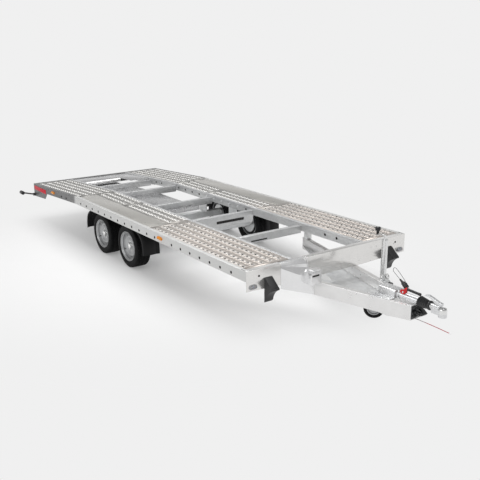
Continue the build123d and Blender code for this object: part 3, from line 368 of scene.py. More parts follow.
class Shape:
    """Faces gathered for one piece."""

    def __init__(self):
        self.verts = []
        self.faces = []

    def add(self, verts, faces):
        start = len(self.verts)
        self.verts += [Vector(v) for v in verts]
        self.faces += [tuple(start + i for i in face) for face in faces]
        return self

    def box(self, low, high, edge=0.001):
        """Box with its edges rounded."""
        low, high = Vector(low), Vector(high)
        bm = bmesh.new()
        bmesh.ops.create_cube(bm, size=1)
        size, centre = high - low, (high + low) / 2
        for v in bm.verts:
            v.co = Vector(a * b + c for a, b, c in zip(v.co, size, centre))
        bmesh.ops.bevel(bm, geom=bm.edges[:], offset=edge, segments=2, affect="EDGES", profile=0.5)
        self.add([v.co.copy() for v in bm.verts], [[v.index for v in f.verts] for f in bm.faces])
        bm.free()
        return self

    def turned(self, centre, axis, points, steps):
        """Ring turned about an axis; points are (distance along the axis, radius), a closed outline."""
        centre, axis = Vector(centre), Vector(axis).normalized()
        side = axis.orthogonal().normalized()
        other = axis.cross(side)
        verts = [centre + axis * a + (side * cos(t) + other * sin(t)) * r
                 for t in (2 * pi * i / steps for i in range(steps)) for a, r in points]
        return self.add(verts, lathe(steps, len(points)))

    def spun(self, centre, axis, points, steps=24, tip=None):
        """Solid turned about an axis and closed to it at both ends; tip is where the last end meets it."""
        start, end = points[0][0], points[-1][0] if tip is None else tip
        return self.turned(centre, axis, [(start, CORE), *points, (end, CORE)], steps)

    def swept(self, path, section):
        """Section of (across, up) points carried along a path of (point, across, up)."""
        verts = [Vector(p) + Vector(a) * s + Vector(u) * t for p, a, u in path for s, t in section]
        return self.add(verts, capped(len(path), len(section)))

    def plate(self, points, y0, y1):
        """Flat plate: (station, z) outline between two y."""
        return self.add([(at(x), y, z) for y in (y0, y1) for x, z in points], capped(2, len(points)))

    def bolt(self, place, direction, size, height):
        """Hexagon head on a round washer."""
        foot, shank, chamfer = size * 0.18, size * 0.8, size * 0.66
        self.spun(place, direction, [(0, size * 1.05), (foot, size)], 20, tip=size * 0.2)
        return self.spun(place, direction,
                         [(foot, shank), (foot + height * 0.85, shank), (foot + height, chamfer)], 6)

    def make(self, name, finish, body="trailer", angle=32, replaces=(), slot=None):
        """The finished object, riding on its body."""
        mesh = bpy.data.meshes.new(name)
        mesh.from_pydata([tuple(v) for v in self.verts], [], self.faces)
        mesh.validate()
        bm = bmesh.new()
        bm.from_mesh(mesh)
        bmesh.ops.recalc_face_normals(bm, faces=bm.faces[:])
        bm.to_mesh(mesh)
        bm.free()
        return place_mesh(name, mesh, finish, body, angle, replaces)


def new_object(name, data):
    obj = bpy.data.objects.new(name, data)
    bpy.context.scene.collection.objects.link(obj)
    return obj


def place_mesh(name, mesh, finish, body, angle, replaces):
    mesh.shade_smooth()
    mesh.set_sharp_from_angle(angle=radians(angle))
    mesh.materials.clear()
    mesh.materials.append(MATS[finish])
    obj = new_object(name, mesh)
    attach(obj, body)
    if replaces:
        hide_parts(*replaces)
    return obj


# ---- steel structure with eased edges

EASE, EASE_SEGMENTS = 0.0015, 2
HARD_ANGLE = radians(28)
FLAT_ANGLE = radians(0.6)
WELD = 2e-5
EASED_NODES = """
    side_rail_left side_rail_right inner_rails cross_members rear_beam rear_panel front_board
    drawbar_arm_left drawbar_arm_right arm_brackets drawbar_tray drawbar_cover cover_latch
    axle_front axle_rear axle_hangers guard_posts wheel_covers brake_linkage plug_holder
    coupling_handle plate_panel overrun_body jockey_fork jockey_clamp wheel_chocks side_strips plug
""".split()


def eased(node):
    """The CAD node with its hard edges rounded."""
    bm = bmesh.new()
    bm.from_mesh(nodes[node].data)
    bmesh.ops.remove_doubles(bm, verts=bm.verts[:], dist=WELD)
    bmesh.ops.dissolve_limit(bm, angle_limit=FLAT_ANGLE, verts=bm.verts[:], edges=bm.edges[:])
    hard = [e for e in bm.edges if len(e.link_faces) == 2 and e.calc_face_angle(0) > HARD_ANGLE]
    bmesh.ops.bevel(bm, geom=hard, offset=EASE, segments=EASE_SEGMENTS, affect="EDGES", profile=0.6,
                    clamp_overlap=True)
    mesh = bpy.data.meshes.new(node + "_eased")
    bm.to_mesh(mesh)
    bm.free()
    return place_mesh(node + "_eased", mesh, finish_for(node), nodes[node]["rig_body"], 40, (node,))


for node in EASED_NODES:
    eased(node)

# ---- deck sheets with raised holes

HOLE_PITCH_X = 0.0755
HOLE_FIRST = 2.126
PLAIN_END = 0.034
ROWS = [0.562 + 0.104 * i for i in range(5)]
NARROW_ROWS = [0.51, 0.61, 0.71]
SHEET = 0.003
SINK = 0.0002
JOINT = 0.0018
JOINTS = (at(-1.0), at(-0.17))
COLLAR = (
    (0.0195, 0.0), (0.018, 0.0), (0.0164, 0.001), (0.0138, 0.0011), (0.013, -0.003), (0.013, -0.015))
TALL_COLLAR = (
    (0.0228, 0.0), (0.0222, 0.0), (0.019, 0.0026), (0.0116, 0.0029), (0.0108, -0.003), (0.0108, -0.015))
DIMPLE = ((0.0095, 0.0), (0.006, 0.0012), (0.0032, 0.0018))
DIMPLE_PEAK = 1.08
# from these rings on, a collar's top takes the painted highlight and its hole wall the painted-shade lining
CREST_FROM, LINING_FROM = 2, 4
DIMPLE_CREST_FROM = 1
HOLE_CELL = 0.62
EDGE_GAP = 0.006
AROUND = 12
FAR = 1e9


def inner_edge(node):
    """Smallest y on the left half of a node."""
    return min(v.co.y for v in nodes[node].data.vertices if v.co.y > 0)


track_low, track_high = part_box("deck_track_left")
cover_low, cover_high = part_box("wheel_covers")
cover_inner_y = inner_edge("wheel_covers")
plate_outer_y = track_high.y - EDGE_GAP


def cell_edge(turn, half_x, half_y):
    """Point of a rectangle's edge in a direction."""
    c, s = cos(turn), sin(turn)
    reach = min(half_x / abs(c) if abs(c) > 1e-9 else FAR, half_y / abs(s) if abs(s) > 1e-9 else FAR)
    return reach * c, reach * s


def cell(shape, looks, cx, cy, half_x, half_y, rings, dimple):
    """Flat rectangle of sheet round one raised collar or dimple."""
    corner = atan2(half_y, half_x)
    turns = [2 * pi * i / AROUND for i in range(AROUND)]
    turns = sorted(turns + [corner, pi - corner, pi + corner, 2 * pi - corner])
    size, inmost = len(turns), len(rings) * len(turns)
    edge = [cell_edge(t, half_x, half_y) for t in turns]
    verts = [(cx + dx, cy + dy, deck_z(cx + dx)) for dx, dy in edge]
    for radius, lift in rings:
        verts += [(cx + radius * cos(t), cy + radius * sin(t), deck_z(cx + radius * cos(t)) + lift)
                  for t in turns]
    faces = grid(len(rings) + 1, size)
    if dimple:
        verts.append((cx, cy, deck_z(cx) + rings[-1][1] * DIMPLE_PEAK))
        faces += [(inmost + j, inmost + (j + 1) % size, len(verts) - 1) for j in range(size)]
    first, last = len(shape.faces), len(shape.faces) + len(faces)
    crest = first + (DIMPLE_CREST_FROM if dimple else CREST_FROM) * size
    lining = last if dimple else first + LINING_FROM * size
    # hole walls get the near-black painted shade, and collar and dimple tops the lighter painted highlight
    looks["painted_shade"].update(range(lining, last))
    looks["painted_highlight"].update(range(crest, lining))
    shape.add(verts, faces)


def flat(shape, x0, x1, y0, y1):
    """Plain stretch of sheet, folded at the kink where it crosses it."""
    if x1 - x0 < 1e-5 or y1 - y0 < 1e-5:
        return
    stations = [x0] + [x for x in (kink_x,) if x0 < x < x1] + [x1]
    for a, b in zip(stations, stations[1:]):
        corners = ((a, y0), (b, y0), (b, y1), (a, y1))
        shape.add([(x, y, deck_z(x)) for x, y in corners], [(0, 1, 2, 3)])


def deck_zone(shape, looks, x0, x1, y0, y1, rows, collar):
    """Sheet with the rows of collars, and small dimples midway between them; its edges stay plain."""
    first = at(HOLE_FIRST)
    low = ceil((x0 + PLAIN_END - first) / HOLE_PITCH_X)
    high = floor((x1 - PLAIN_END - first) / HOLE_PITCH_X)
    half_y = (rows[1] - rows[0]) / 2
    half_hole, half_gap = HOLE_PITCH_X * HOLE_CELL / 2, HOLE_PITCH_X * (1 - HOLE_CELL) / 2
    for i in range(low, high + 1):
        cx = first + HOLE_PITCH_X * i
        for cy in rows:
            cell(shape, looks, cx, cy, half_hole, half_y, collar, False)
            if i < high:
                cell(shape, looks, cx + HOLE_PITCH_X / 2, cy, half_gap, half_y, DIMPLE, True)
    grid_x0, grid_x1 = first + HOLE_PITCH_X * low - half_hole, first + HOLE_PITCH_X * high + half_hole
    grid_y0, grid_y1 = rows[0] - half_y, rows[-1] + half_y
    y0, y1 = min(y0, grid_y0), max(y1, grid_y1) if grid_y1 - y1 < SHEET else y1
    flat(shape, x0, grid_x0, y0, y1)
    flat(shape, grid_x1, x1, y0, y1)
    flat(shape, grid_x0, grid_x1, y0, grid_y0)
    flat(shape, grid_x0, grid_x1, grid_y1, y1)


def make_deck(side):
    """One track's sheet: wide in front and at the tail, narrow beside the wheels."""
    shape, looks = Shape(), {"painted_shade": set(), "painted_highlight": set()}
    tail_end, wheel_joint = JOINTS
    for x0, x1, y1, rows, collar in (
            (cover_high.x, track_high.x, plate_outer_y, ROWS, COLLAR),
            (wheel_joint + JOINT, cover_high.x, cover_inner_y, NARROW_ROWS, TALL_COLLAR),
            (tail_end + JOINT, wheel_joint, cover_inner_y, NARROW_ROWS, TALL_COLLAR),
            (track_low.x, tail_end, plate_outer_y, ROWS, TALL_COLLAR)):
        deck_zone(shape, looks, x0, x1, track_low.y, y1, rows, collar)
    flat(shape, tail_end + JOINT, cover_low.x, cover_inner_y, plate_outer_y)
    for v in shape.verts:
        v.y *= SIDES[side]
        v.z -= SINK
    if SIDES[side] < 0:
        shape.faces = [tuple(reversed(face)) for face in shape.faces]
    name = f"deck_plate_{side}"
    mesh = bpy.data.meshes.new(name)
    mesh.from_pydata([tuple(v) for v in shape.verts], [], shape.faces)
    obj = place_mesh(name, mesh, "deck_sheet", "trailer", 50, (f"deck_track_{side}",))
    for index, (finish, numbers) in enumerate(looks.items(), 1):
        mesh.materials.append(MATS[finish])
        for number in numbers:
            mesh.polygons[number].material_index = index
    solid = obj.modifiers.new("thickness", "SOLIDIFY")
    solid.thickness = SHEET
    solid.offset = -1


STRAP_TOP, STRAP_FOOT, EDGE_FOOT = 0.0036, 0.0062, 0.006


def make_straps(side):
    """Near-black straps under the sheet's joints and a strip along its outer edge: painted shade, so the gaps
    read as dark shadow lines.
    """
    s, straps = SIDES[side], Shape()
    low, high = sorted((s * (track_low.y + 0.006), s * (cover_inner_y - 0.006)))
    for x in JOINTS:
        z = deck_z(x)
        straps.box((x - 0.012, low, z - STRAP_FOOT), (x + 0.014, high, z - STRAP_TOP), 0.0005)
    y0, y1 = sorted((s * (plate_outer_y - 0.004), s * (track_high.y - 0.0006)))
    section = ((y0, EDGE_FOOT), (y1, EDGE_FOOT), (y1, STRAP_TOP), (y0, STRAP_TOP))
    stations = sorted((track_low.x + 0.002, kink_x, track_high.x - 0.002))
    verts = [(x, y, deck_z(x) - drop) for x in stations for y, drop in section]
    straps.add(verts, capped(len(stations), len(section)))
    straps.make(f"joint_shade_straps_{side}", "painted_shade", slot="black_plastic")


for side in SIDES:
    make_deck(side)
    make_straps(side)

# ---- tyres

TREAD_PITCHES = 52
TREAD_HALF, GROOVE_DEPTH = 0.078, 0.0075
GROOVES = (0.18, 0.5, 0.82)
GROOVE_SHAPE = ((-0.034, 0.0), (-0.022, 1.0), (0.022, 1.0), (0.034, 0.0))
LUG_SHAPE = ((0.0, 0.0), (0.7, 0.0), (0.76, 1.0), (0.94, 1.0))
SHOULDER_SHARE, MIDDLE_CUT = 0.16, 0.55
SWEEP, SWEEP_TURN, CROWN = 0.03, 2.2, 0.0016
EDGE_NOTCH, EDGE_DROP = 0.004, 0.02
FLANK = (
    (0.0835, 0.0035), (0.089, 0.011), (0.0935, 0.023), (0.0965, 0.038), (0.0955, 0.054), (0.095, 0.0548),
    (0.0958, 0.056), (0.0915, 0.072), (0.085, 0.084), (0.082, 0.086), (0.08, 0.09), (0.0745, 0.0945))


def tyre_columns():
    """(offset across, drop from the crown, groove, share of the lug's cut) from flank to flank."""
    grooves = [(centre + x, depth) for centre in GROOVES for x, depth in GROOVE_SHAPE]
    tread = [(-TREAD_HALF + 2 * TREAD_HALF * share, 0.0, depth,
              1.0 if share < SHOULDER_SHARE or share > 1 - SHOULDER_SHARE else MIDDLE_CUT)
             for share, depth in [(0.0, 0.0), *grooves, (1.0, 0.0)]]
    near = [(-offset, drop, 0, 0) for offset, drop in reversed(FLANK)]
    return near + tread + [(offset, drop, 0, 0) for offset, drop in FLANK]


def make_tyre(axle, side):
    x, y, z = wheel_x[axle], SIDES[side] * wheel_y, wheel_z
    columns, verts = tyre_columns(), []
    around = [(2 * pi * (pitch + share) / TREAD_PITCHES, cut)
              for pitch in range(TREAD_PITCHES) for share, cut in LUG_SHAPE]
    for turn, cut in around:
        for offset, drop, groove, shoulder in columns:
            r = tyre_radius - drop - max(groove, cut * shoulder) * GROOVE_DEPTH
            t = turn
            if shoulder:
                t += SWEEP * sin(offset / TREAD_HALF * SWEEP_TURN)
                r -= CROWN * (offset / TREAD_HALF) ** 2
            elif drop < EDGE_DROP:
                r -= cut * EDGE_NOTCH
            verts.append((x + r * cos(t), y + offset, z + r * sin(t)))
    tyre = Shape().add(verts, lathe(len(around), len(columns)))
    tyre.make(f"tread_tyre_{axle}_{side}", "tyre_rubber", f"wheel_{axle}_{side}", 26,
              (f"tyre_{axle}_{side}",), "tyre_rubber")


# ---- rims, hub caps, wheel bolts and valves

RIM_STEPS = 60
RIM_FRONT = (
    (0.983, 0.1815), (0.9868, 0.1822), (0.9885, 0.1812), (0.9882, 0.1795), (0.985, 0.177), (0.979, 0.1745),
    (0.974, 0.17), (0.9715, 0.164), (0.97, 0.1622), (0.964, 0.1606), (0.956, 0.1598), (0.952, 0.159),
    (0.95, 0.156), (0.942, 0.1535), (0.938, 0.15), (0.9375, 0.147), (0.9395, 0.144), (0.942, 0.1405),
    (0.95, 0.1268), (0.9515, 0.124), (0.953, 0.118), (0.9515, 0.111), (0.944, 0.099), (0.937, 0.086),
    (0.934, 0.078), (0.933, 0.073), (0.9345, 0.071), (0.9345, 0.04), (0.936, 0.037), (0.935, 0.0335))
RIM_BACK = (
    (0.9195, 0.0335), (0.9195, 0.07), (0.93, 0.099), (0.9435, 0.118), (0.945, 0.1268), (0.937, 0.1405),
    (0.933, 0.1487), (0.9135, 0.15), (0.83, 0.159), (0.8225, 0.1627), (0.8225, 0.1677), (0.83, 0.1665),
    (0.964, 0.1665), (0.97, 0.169), (0.9725, 0.173), (0.977, 0.1775))
SLOT_FRONT, SLOT_BACK = RIM_FRONT.index((0.942, 0.1405)), len(RIM_FRONT) + 4
VENTS = 12
WHEEL_BOLTS, BOLT_CIRCLE, BOLT_TURN = 5, 0.056, 0.35
HUB_FACE = 0.9345
HUB_CAP = [
    (0, 0.034), (0.019, 0.0336), (0.029, 0.0318), (0.033, 0.0285), (0.0346, 0.023), (0.0346, 0.018),
    (0.0355, 0.015)]
HUB_CAP_TIP = 0.0358
VALVE_TURN, VALVE_CIRCLE, VALVE_FACE, VALVE_LEAN = 3.6, 0.148, 0.936, -0.25
STEM = [(0, 0.0075), (0.006, 0.0045), (0.018, 0.0042), (0.02, 0.005), (0.028, 0.005), (0.029, 0.004)]


def make_rim(axle, side):
    """Pressed wheel with a rolled flange and a ring of vent slots."""
    outline = RIM_FRONT + RIM_BACK
    count = len(outline)
    verts = [(wheel_x[axle] + r * cos(t), SIDES[side] * y, wheel_z + r * sin(t))
             for t in (2 * pi * i / RIM_STEPS for i in range(RIM_STEPS)) for y, r in outline]

    def quad(i, j):
        near, far = i % RIM_STEPS * count, (i + 1) % RIM_STEPS * count
        return near + j % count, far + j % count, far + (j + 1) % count, near + (j + 1) % count

    faces = []
    for i in range(RIM_STEPS):
        vented = i % (RIM_STEPS // VENTS) == 0
        faces += [quad(i, j) for j in range(count) if not (vented and j in (SLOT_FRONT, SLOT_BACK))]
        if vented:
            front, back = quad(i, SLOT_FRONT), quad(i, SLOT_BACK)[::-1]
            faces += [(front[k], front[(k + 1) % 4], back[(k + 1) % 4], back[k]) for k in range(4)]
    Shape().add(verts, faces).make(f"pressed_wheel_{axle}_{side}", "wheel_silver", f"wheel_{axle}_{side}", 30,
                                   (f"rim_{axle}_{side}",), "wheel_steel")


def make_wheel_fittings(axle, side):
    """Hub cap, wheel bolts and valve."""
    body, s = f"wheel_{axle}_{side}", SIDES[side]
    centre = Vector((wheel_x[axle], s * HUB_FACE, wheel_z))
    cap = Shape().spun(centre, (0, s, 0), HUB_CAP, 40, HUB_CAP_TIP)
    cap.make(f"hub_cap_{axle}_{side}", "bright_zinc", body, 40, slot="zinc_bright")
    bolts = Shape()
    for k in range(WHEEL_BOLTS):
        t = 2 * pi * k / WHEEL_BOLTS + BOLT_TURN
        bolts.bolt(centre + Vector((cos(t), 0, sin(t))) * BOLT_CIRCLE, (0, s, 0), 0.0125, 0.012)
    bolts.make(f"wheel_bolts_{axle}_{side}", "bright_zinc", body, slot="zinc_bright")
    c, d = cos(VALVE_TURN), sin(VALVE_TURN)
    root = (wheel_x[axle] + VALVE_CIRCLE * c, s * VALVE_FACE, wheel_z + VALVE_CIRCLE * d)
    valve = Shape().spun(root, (VALVE_LEAN * c, s, VALVE_LEAN * d), STEM, 16)
    valve.make(f"valve_{axle}_{side}", "black_rubber", body, slot="black_rubber")


for axle in AXLES:
    for side in SIDES:
        make_tyre(axle, side)
        make_rim(axle, side)
        make_wheel_fittings(axle, side)

# ---- mudguards

guard_low, guard_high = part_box("mudguard_left")
GUARD_STEPS, GUARD_CROWDING = 40, 1.4
GUARD_SQUARENESS = 3
GUARD_WALL, GUARD_FOLD = 0.0035, 0.052


def guard_path():
    """(place, across, outward normal) along the strip, from its front foot to its rear one."""
    reach = wheel_x["front"] - zero_x
    along, rise = guard_high.x - zero_x - reach, guard_high.z - guard_low.z
    power = 2 / GUARD_SQUARENESS
    turns = [pi / 2 * (i / GUARD_STEPS) ** GUARD_CROWDING for i in range(GUARD_STEPS + 1)]
    half = [(reach + along * max(cos(t), 0) ** power, guard_low.z + rise * sin(t) ** power) for t in turns]
    half += [(reach * k / 4, guard_high.z) for k in (3, 2, 1)]
    line = half + [(0, guard_high.z)] + [(-x, z) for x, z in reversed(half)]
    path = []
    for i, (x, z) in enumerate(line):
        before, after = line[max(i - 1, 0)], line[min(i + 1, len(line) - 1)]
        run = Vector((after[0] - before[0], 0, after[1] - before[1])).normalized()
        path.append(((zero_x + x, 0, z), (0, 1, 0), (run.z, 0, -run.x)))
    return path


def make_guard(side):
    """One moulded strip with a folded outer edge, pressed lines and a rolled skirt."""
    y0, y1, wall, fold = guard_low.y, guard_high.y, GUARD_WALL, GUARD_FOLD
    section = [(y0, -0.012), (y0, -0.002), (y0 + 0.002, 0), (y0 + 0.04, 0), (y0 + 0.044, -0.003),
               (y0 + 0.052, -0.003), (y0 + 0.056, 0), (y1 - fold, 0), (y1 - 0.012, -0.011),
               (y1 - 0.003, -0.015), (y1, -0.021), (y1, -0.034), (y1 - wall, -0.034), (y1 - wall, -0.022),
               (y1 - 0.013, -0.011 - wall), (y1 - fold, -wall), (y0 + 0.056, -wall), (y0 + wall, -wall),
               (y0 + wall, -0.012)]
    guard = Shape().swept(guard_path(), [(SIDES[side] * y, up) for y, up in section])
    guard.make(f"guard_{side}", "guard_plastic", "trailer", 40, (f"mudguard_{side}",), "black_plastic")


for side in SIDES:
    make_guard(side)

# ---- lashing holes

HOLE_SKIPPED = 12
RAIL_STATIONS = [kink_x - 0.323, kink_x - 0.493]
RAIL_STATIONS += [zero_x - 0.842 + 0.183 * i for i in range(20) if i != HOLE_SKIPPED]
RAIL_HOLE_DROP = 0.067
CUP = [(0.0006, 0.0148), (0.0006, 0.0136), (0.021, 0.013), (0.021, CORE), (0.0225, CORE), (0.0225, 0.0148)]
BLANK = [(-0.002, 0.0148), (0.0002, 0.0146)]
BLANKED_FROM, OPEN_FROM, OPEN_TO = at(0.9), at(2.2), at(2.6)
BOLTED_FROM, BOLTED_TO = at(-0.2), at(0.8)
inner_web = inner_edge("inner_rails")
inner_depth = deck_top - min(v.co.z for v in nodes["inner_rails"].data.vertices if v.co.x > kink_x)


def line_rails(side):
    """Near-black linings in the rails' holes, painted shade standing in for their dark insides, and flush
    blanks or bolts in some of the inner ones.
    """
    s = SIDES[side]
    shade_cups, bolts, blanks = Shape(), Shape(), Shape()
    for x in RAIL_STATIONS:
        shade_cups.turned((x, s * (half_width - 0.0004), deck_z(x) - RAIL_HOLE_DROP), (0, -s, 0), CUP, 20)
        web_z = deck_z(x) - inner_depth / 2
        place = (x, s * (inner_web + SINK), web_z)
        if x > BLANKED_FROM and not OPEN_FROM < x < OPEN_TO:
            blanks.spun(place, (0, -s, 0), BLANK, 20)
        else:
            shade_cups.turned(place, (0, s, 0), CUP, 20)
        if BOLTED_FROM < x < BOLTED_TO:
            bolts.bolt((x, s * (inner_web - SINK), web_z), (0, -s, 0), 0.017, 0.011)
    shade_cups.make(f"lashing_hole_shade_{side}", "painted_shade", slot="black_plastic")
    bolts.make(f"rail_bolts_{side}", "galvanised", slot="galvanised")
    blanks.make(f"rail_blanks_{side}", "bed_steel", slot="galvanised")


for side in SIDES:
    line_rails(side)

# ---- front board: rivets and plugs

board_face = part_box("front_board")[1].x
RIVETS = (
    (-0.117, 0.578), (0.135, 0.535), (0.545, 0.58), (0.624, 0.578), (0.375, 0.471), (0.544, 0.437),
    (-0.56, 0.56), (-0.6, 0.452), (0.88, 0.56), (0.2, 0.47))
DOME = [(-0.002, 0.0062), (0.0006, 0.0062), (0.0022, 0.0048), (0.0031, 0.0024)]
DOME_TIP = 0.0033
PLUG_FACE = [(-0.002, 0.0115), (0.0012, 0.011), (0.002, 0.0085)]
PLUG_TIP = 0.0016
PLUG_Y, PLUG_Z = 0.905, 0.573
CAP_Y, CAP_FROM, CAP_TO = 1.041, at(2.78), at(2.851)

rivets, plugs = Shape(), Shape()
for y, z in RIVETS:
    rivets.spun((board_face, y, z), (1, 0, 0), DOME, 20, DOME_TIP)
rivets.make("board_rivets", "zinc_head", slot="galvanised")
for s in SIDES.values():
    plugs.spun((board_face, s * PLUG_Y, PLUG_Z), (1, 0, 0), PLUG_FACE, 24, PLUG_TIP)
    y = s * CAP_Y
    plugs.box((CAP_FROM, y - 0.004, deck_top - 0.002), (CAP_TO, y + 0.004, deck_top + 0.0012), 0.0008)
plugs.make("board_plugs", "black_plastic", slot="black_plastic")

# ---- front and side lamps

CAPSULE_ARC = 10
LAMP_BASE = ((0.0, 0.0), (0.0, 0.006), (0.0012, 0.0072), (0.0046, 0.0072), (0.0046, 0.005))
LAMP_DOME = (
    (0.005, 0.0045), (0.005, 0.0085), (0.0066, 0.014), (0.01, 0.0185), (0.0145, 0.021), (0.0175, 0.0219))


def capsule(length, height, inset):
    """Outline of a flat capsule, pulled in by an inset; (along, up) points."""
    r = height / 2 - inset
    half = length / 2 - height / 2
    return [(sign * half + r * cos(t), r * sin(t)) for sign in (1, -1)
            for t in (sign * -pi / 2 + pi * i / CAPSULE_ARC for i in range(CAPSULE_ARC + 1))]


def make_lamps(where, seats, along, length, height, base, cover):
    """Lamps on (place, outward direction) seats; base and cover are (finish, slot)."""
    along = Vector(along)
    for part, rings, (finish, slot), replaces in (("bases", LAMP_BASE, base, ()),
                                                  ("lenses", LAMP_DOME, cover, (f"{where}_lamps",))):
        shape = Shape()
        for place, out in seats:
            verts = [Vector(place) + along * a + Vector((0, 0, b)) + Vector(out) * rise
                     for inset, rise in rings for a, b in capsule(length, height, inset)]
            shape.add(verts, capped(len(rings), len(verts) // len(rings)))
        shape.make(f"{where}_lamp_{part}", finish, replaces=replaces, slot=slot)


FRONT_LAMP_LENGTH, FRONT_LAMP_HEIGHT = 0.092, 0.046
lamp_low, lamp_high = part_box("front_lamps")
front_seats = [((lamp_low.x, s * (lamp_high.y - FRONT_LAMP_LENGTH / 2), middle("front_lamps").z), (1, 0, 0))
               for s in SIDES.values()]
make_lamps("front", front_seats, (0, 1, 0), FRONT_LAMP_LENGTH, FRONT_LAMP_HEIGHT,
           ("grey_paint", "black_plastic"), ("smoke_lens", "clear_lens"))
SIDE_LAMP_LENGTH, SIDE_LAMP_HEIGHT, SIDE_LAMP_DROP = 0.104, 0.036, 0.05
side_low, side_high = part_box("side_lamps")
side_seats = [((x, s * (half_width + 0.0003), deck_z(x) - SIDE_LAMP_DROP), (0, s, 0)) for s in SIDES.values()
              for x in (side_low.x + SIDE_LAMP_LENGTH / 2, side_high.x - SIDE_LAMP_LENGTH / 2)]
make_lamps("side", side_seats, (1, 0, 0), SIDE_LAMP_LENGTH, SIDE_LAMP_HEIGHT,
           ("amber_rim", "amber_lens"), ("amber_lens", "amber_lens"))

# ---- handbrake lever and its grip

LEVER = ((3.786, 0.503), (3.8, 0.488), (3.836, 0.488), (3.852, 0.502), (3.8635, 0.532), (3.8635, 0.548),
         (3.846, 0.5505), (3.832, 0.536), (3.812, 0.524), (3.792, 0.52))
CHEEKS = ((-0.035, -0.03), (-0.022, -0.017))
LEVER_PIN = [
    (0, 0.007), (0.001, 0.0085), (0.0045, 0.0085), (0.0052, 0.006), (0.022, 0.006), (0.0228, 0.0085),
    (0.027, 0.0085)]
LEVER_PIN_TIP = 0.0278
PAWL = ((3.76, 0.499), (3.776, 0.494), (3.846, 0.494), (3.846, 0.503), (3.84, 0.518), (3.8, 0.518),
        (3.77, 0.508))
GRIP_FOOT = [(0, 0.0112), (0.003, 0.0132), (0.01, 0.0136)]
GRIP_WAVE = ((0.018, 0.0118), (0.0245, 0.0112), (0.032, 0.012), (0.0345, 0.013))
GRIP_WAVES, GRIP_PITCH = 5, 0.021
GRIP_HEAD = [(0.128, 0.0136), (0.14, 0.0138), (0.1455, 0.0125), (0.1488, 0.0085)]
GRIP_TIP = 0.1495


def make_lever():
    """Red cheeks, and the plated pin and pawl between them."""
    lever, pivot = Shape(), Shape()
    for y0, y1 in CHEEKS:
        lever.plate(LEVER, y0, y1)
    lever.box((at(3.846), -0.03, 0.528), (at(3.8635), -0.022, 0.549))
    lever.make("lever_cheeks", "red_paint", replaces=("handbrake",), slot="red_paint")
    pivot.spun((at(3.822), -0.0399, 0.507), (0, 1, 0), LEVER_PIN, tip=LEVER_PIN_TIP)
    pivot.plate(PAWL, -0.029, -0.023)
    pivot.make("lever_pivot", "bright_zinc", slot="zinc_bright")


def make_grip():
    """Moulded grip with finger waves."""
    low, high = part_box("handbrake_grip")
    start = (low.x + 0.0006, (low.y + high.y) / 2, high.z - 0.0142)
    waves = [(x + GRIP_PITCH * k, r) for k in range(GRIP_WAVES) for x, r in GRIP_WAVE]
    grip = Shape().spun(start, (0.15, 0, -0.006), GRIP_FOOT + waves + GRIP_HEAD, 28, GRIP_TIP)
    grip.make("lever_grip", "black_plastic", replaces=("handbrake_grip",), slot="black_plastic", angle=50)


make_lever()
make_grip()

# ---- coupling head and jockey crank

coupling_z = middle("bellows").z
HEAD_RING = [
    (0.43, 0.0338), (0.43, 0.0362), (0.46, 0.0362), (0.469, 0.0345), (0.4735, 0.0305), (0.4735, 0.027),
    (0.47, 0.0238), (0.46, 0.0225), (0.45, 0.0225)]
HEAD_BOLTS = ((4.13, 0.03, 0.0085), (4.162, 0.0285, 0.0075))
HEAD_CATCH = (
    (4.15, 0.486), (4.176, 0.4895), (4.206, 0.5), (4.214, 0.512), (4.205, 0.52), (4.19, 0.508),
    (4.15, 0.4935))
KNOB = [(0.838, 0.014), (0.868, 0.0145), (0.876, 0.022), (0.883, 0.0268), (0.9, 0.0275), (0.909, 0.0245),
        (0.9138, 0.017)]
KNOB_TIP = 0.914


def make_head():
    """Turned ring, bolts and catch of the coupling head."""
    head = Shape().turned((at(4.232), 0, 0), (0, 0, 1), HEAD_RING, 44)
    for s in (1, -1):
        for station, y, size in HEAD_BOLTS:
            head.bolt((at(station), s * y, coupling_z), (0, s, 0), size, 0.006)
    head.plate(HEAD_CATCH, -0.006, 0.006)
    head.make("head_ring", "bright_zinc", slot="zinc_bright")


def make_knob():
    """Knob on the jockey crank."""
    centre = (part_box("jockey_crank")[0].x + 0.014, middle("jockey_crank").y, 0)
    knob = Shape().spun(centre, (0, 0, 1), KNOB, 28, KNOB_TIP)
    knob.make("crank_knob", "black_plastic", slot="black_plastic", angle=45)


make_head()
make_knob()

# ---- painted shade: near-black backs behind the slots in the cross-members and the latch

SLOT_BACK_FROM, SLOT_BACK_TO, SLOT_MARGIN = 0.0236, 0.0256, 0.002
MEMBER_SLOTS = ((1.84, -0.251, -0.031, 0.538, 0.554), (0.925, -0.088, 0.316, 0.515, 0.548))

slot_shade = Shape()
for station, y0, y1, z0, z1 in MEMBER_SLOTS:
    slot_shade.box((at(station) + SLOT_BACK_FROM, y0 - SLOT_MARGIN, z0 - SLOT_MARGIN),
              (at(station) + SLOT_BACK_TO, y1 + SLOT_MARGIN, z1 + SLOT_MARGIN), 0.0004)
slot_shade.make("member_slot_shade", "painted_shade", slot="black_plastic")
latch_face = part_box("cover_latch")[1].x
latch = Shape().box((latch_face - 0.012, -0.4185, 0.5055), (latch_face - 0.0012, -0.3315, 0.5225), 0.0008)
latch.make("latch_slot_shade", "painted_shade", slot="black_plastic")

# ---- jockey brace, eye and catch on the left arm

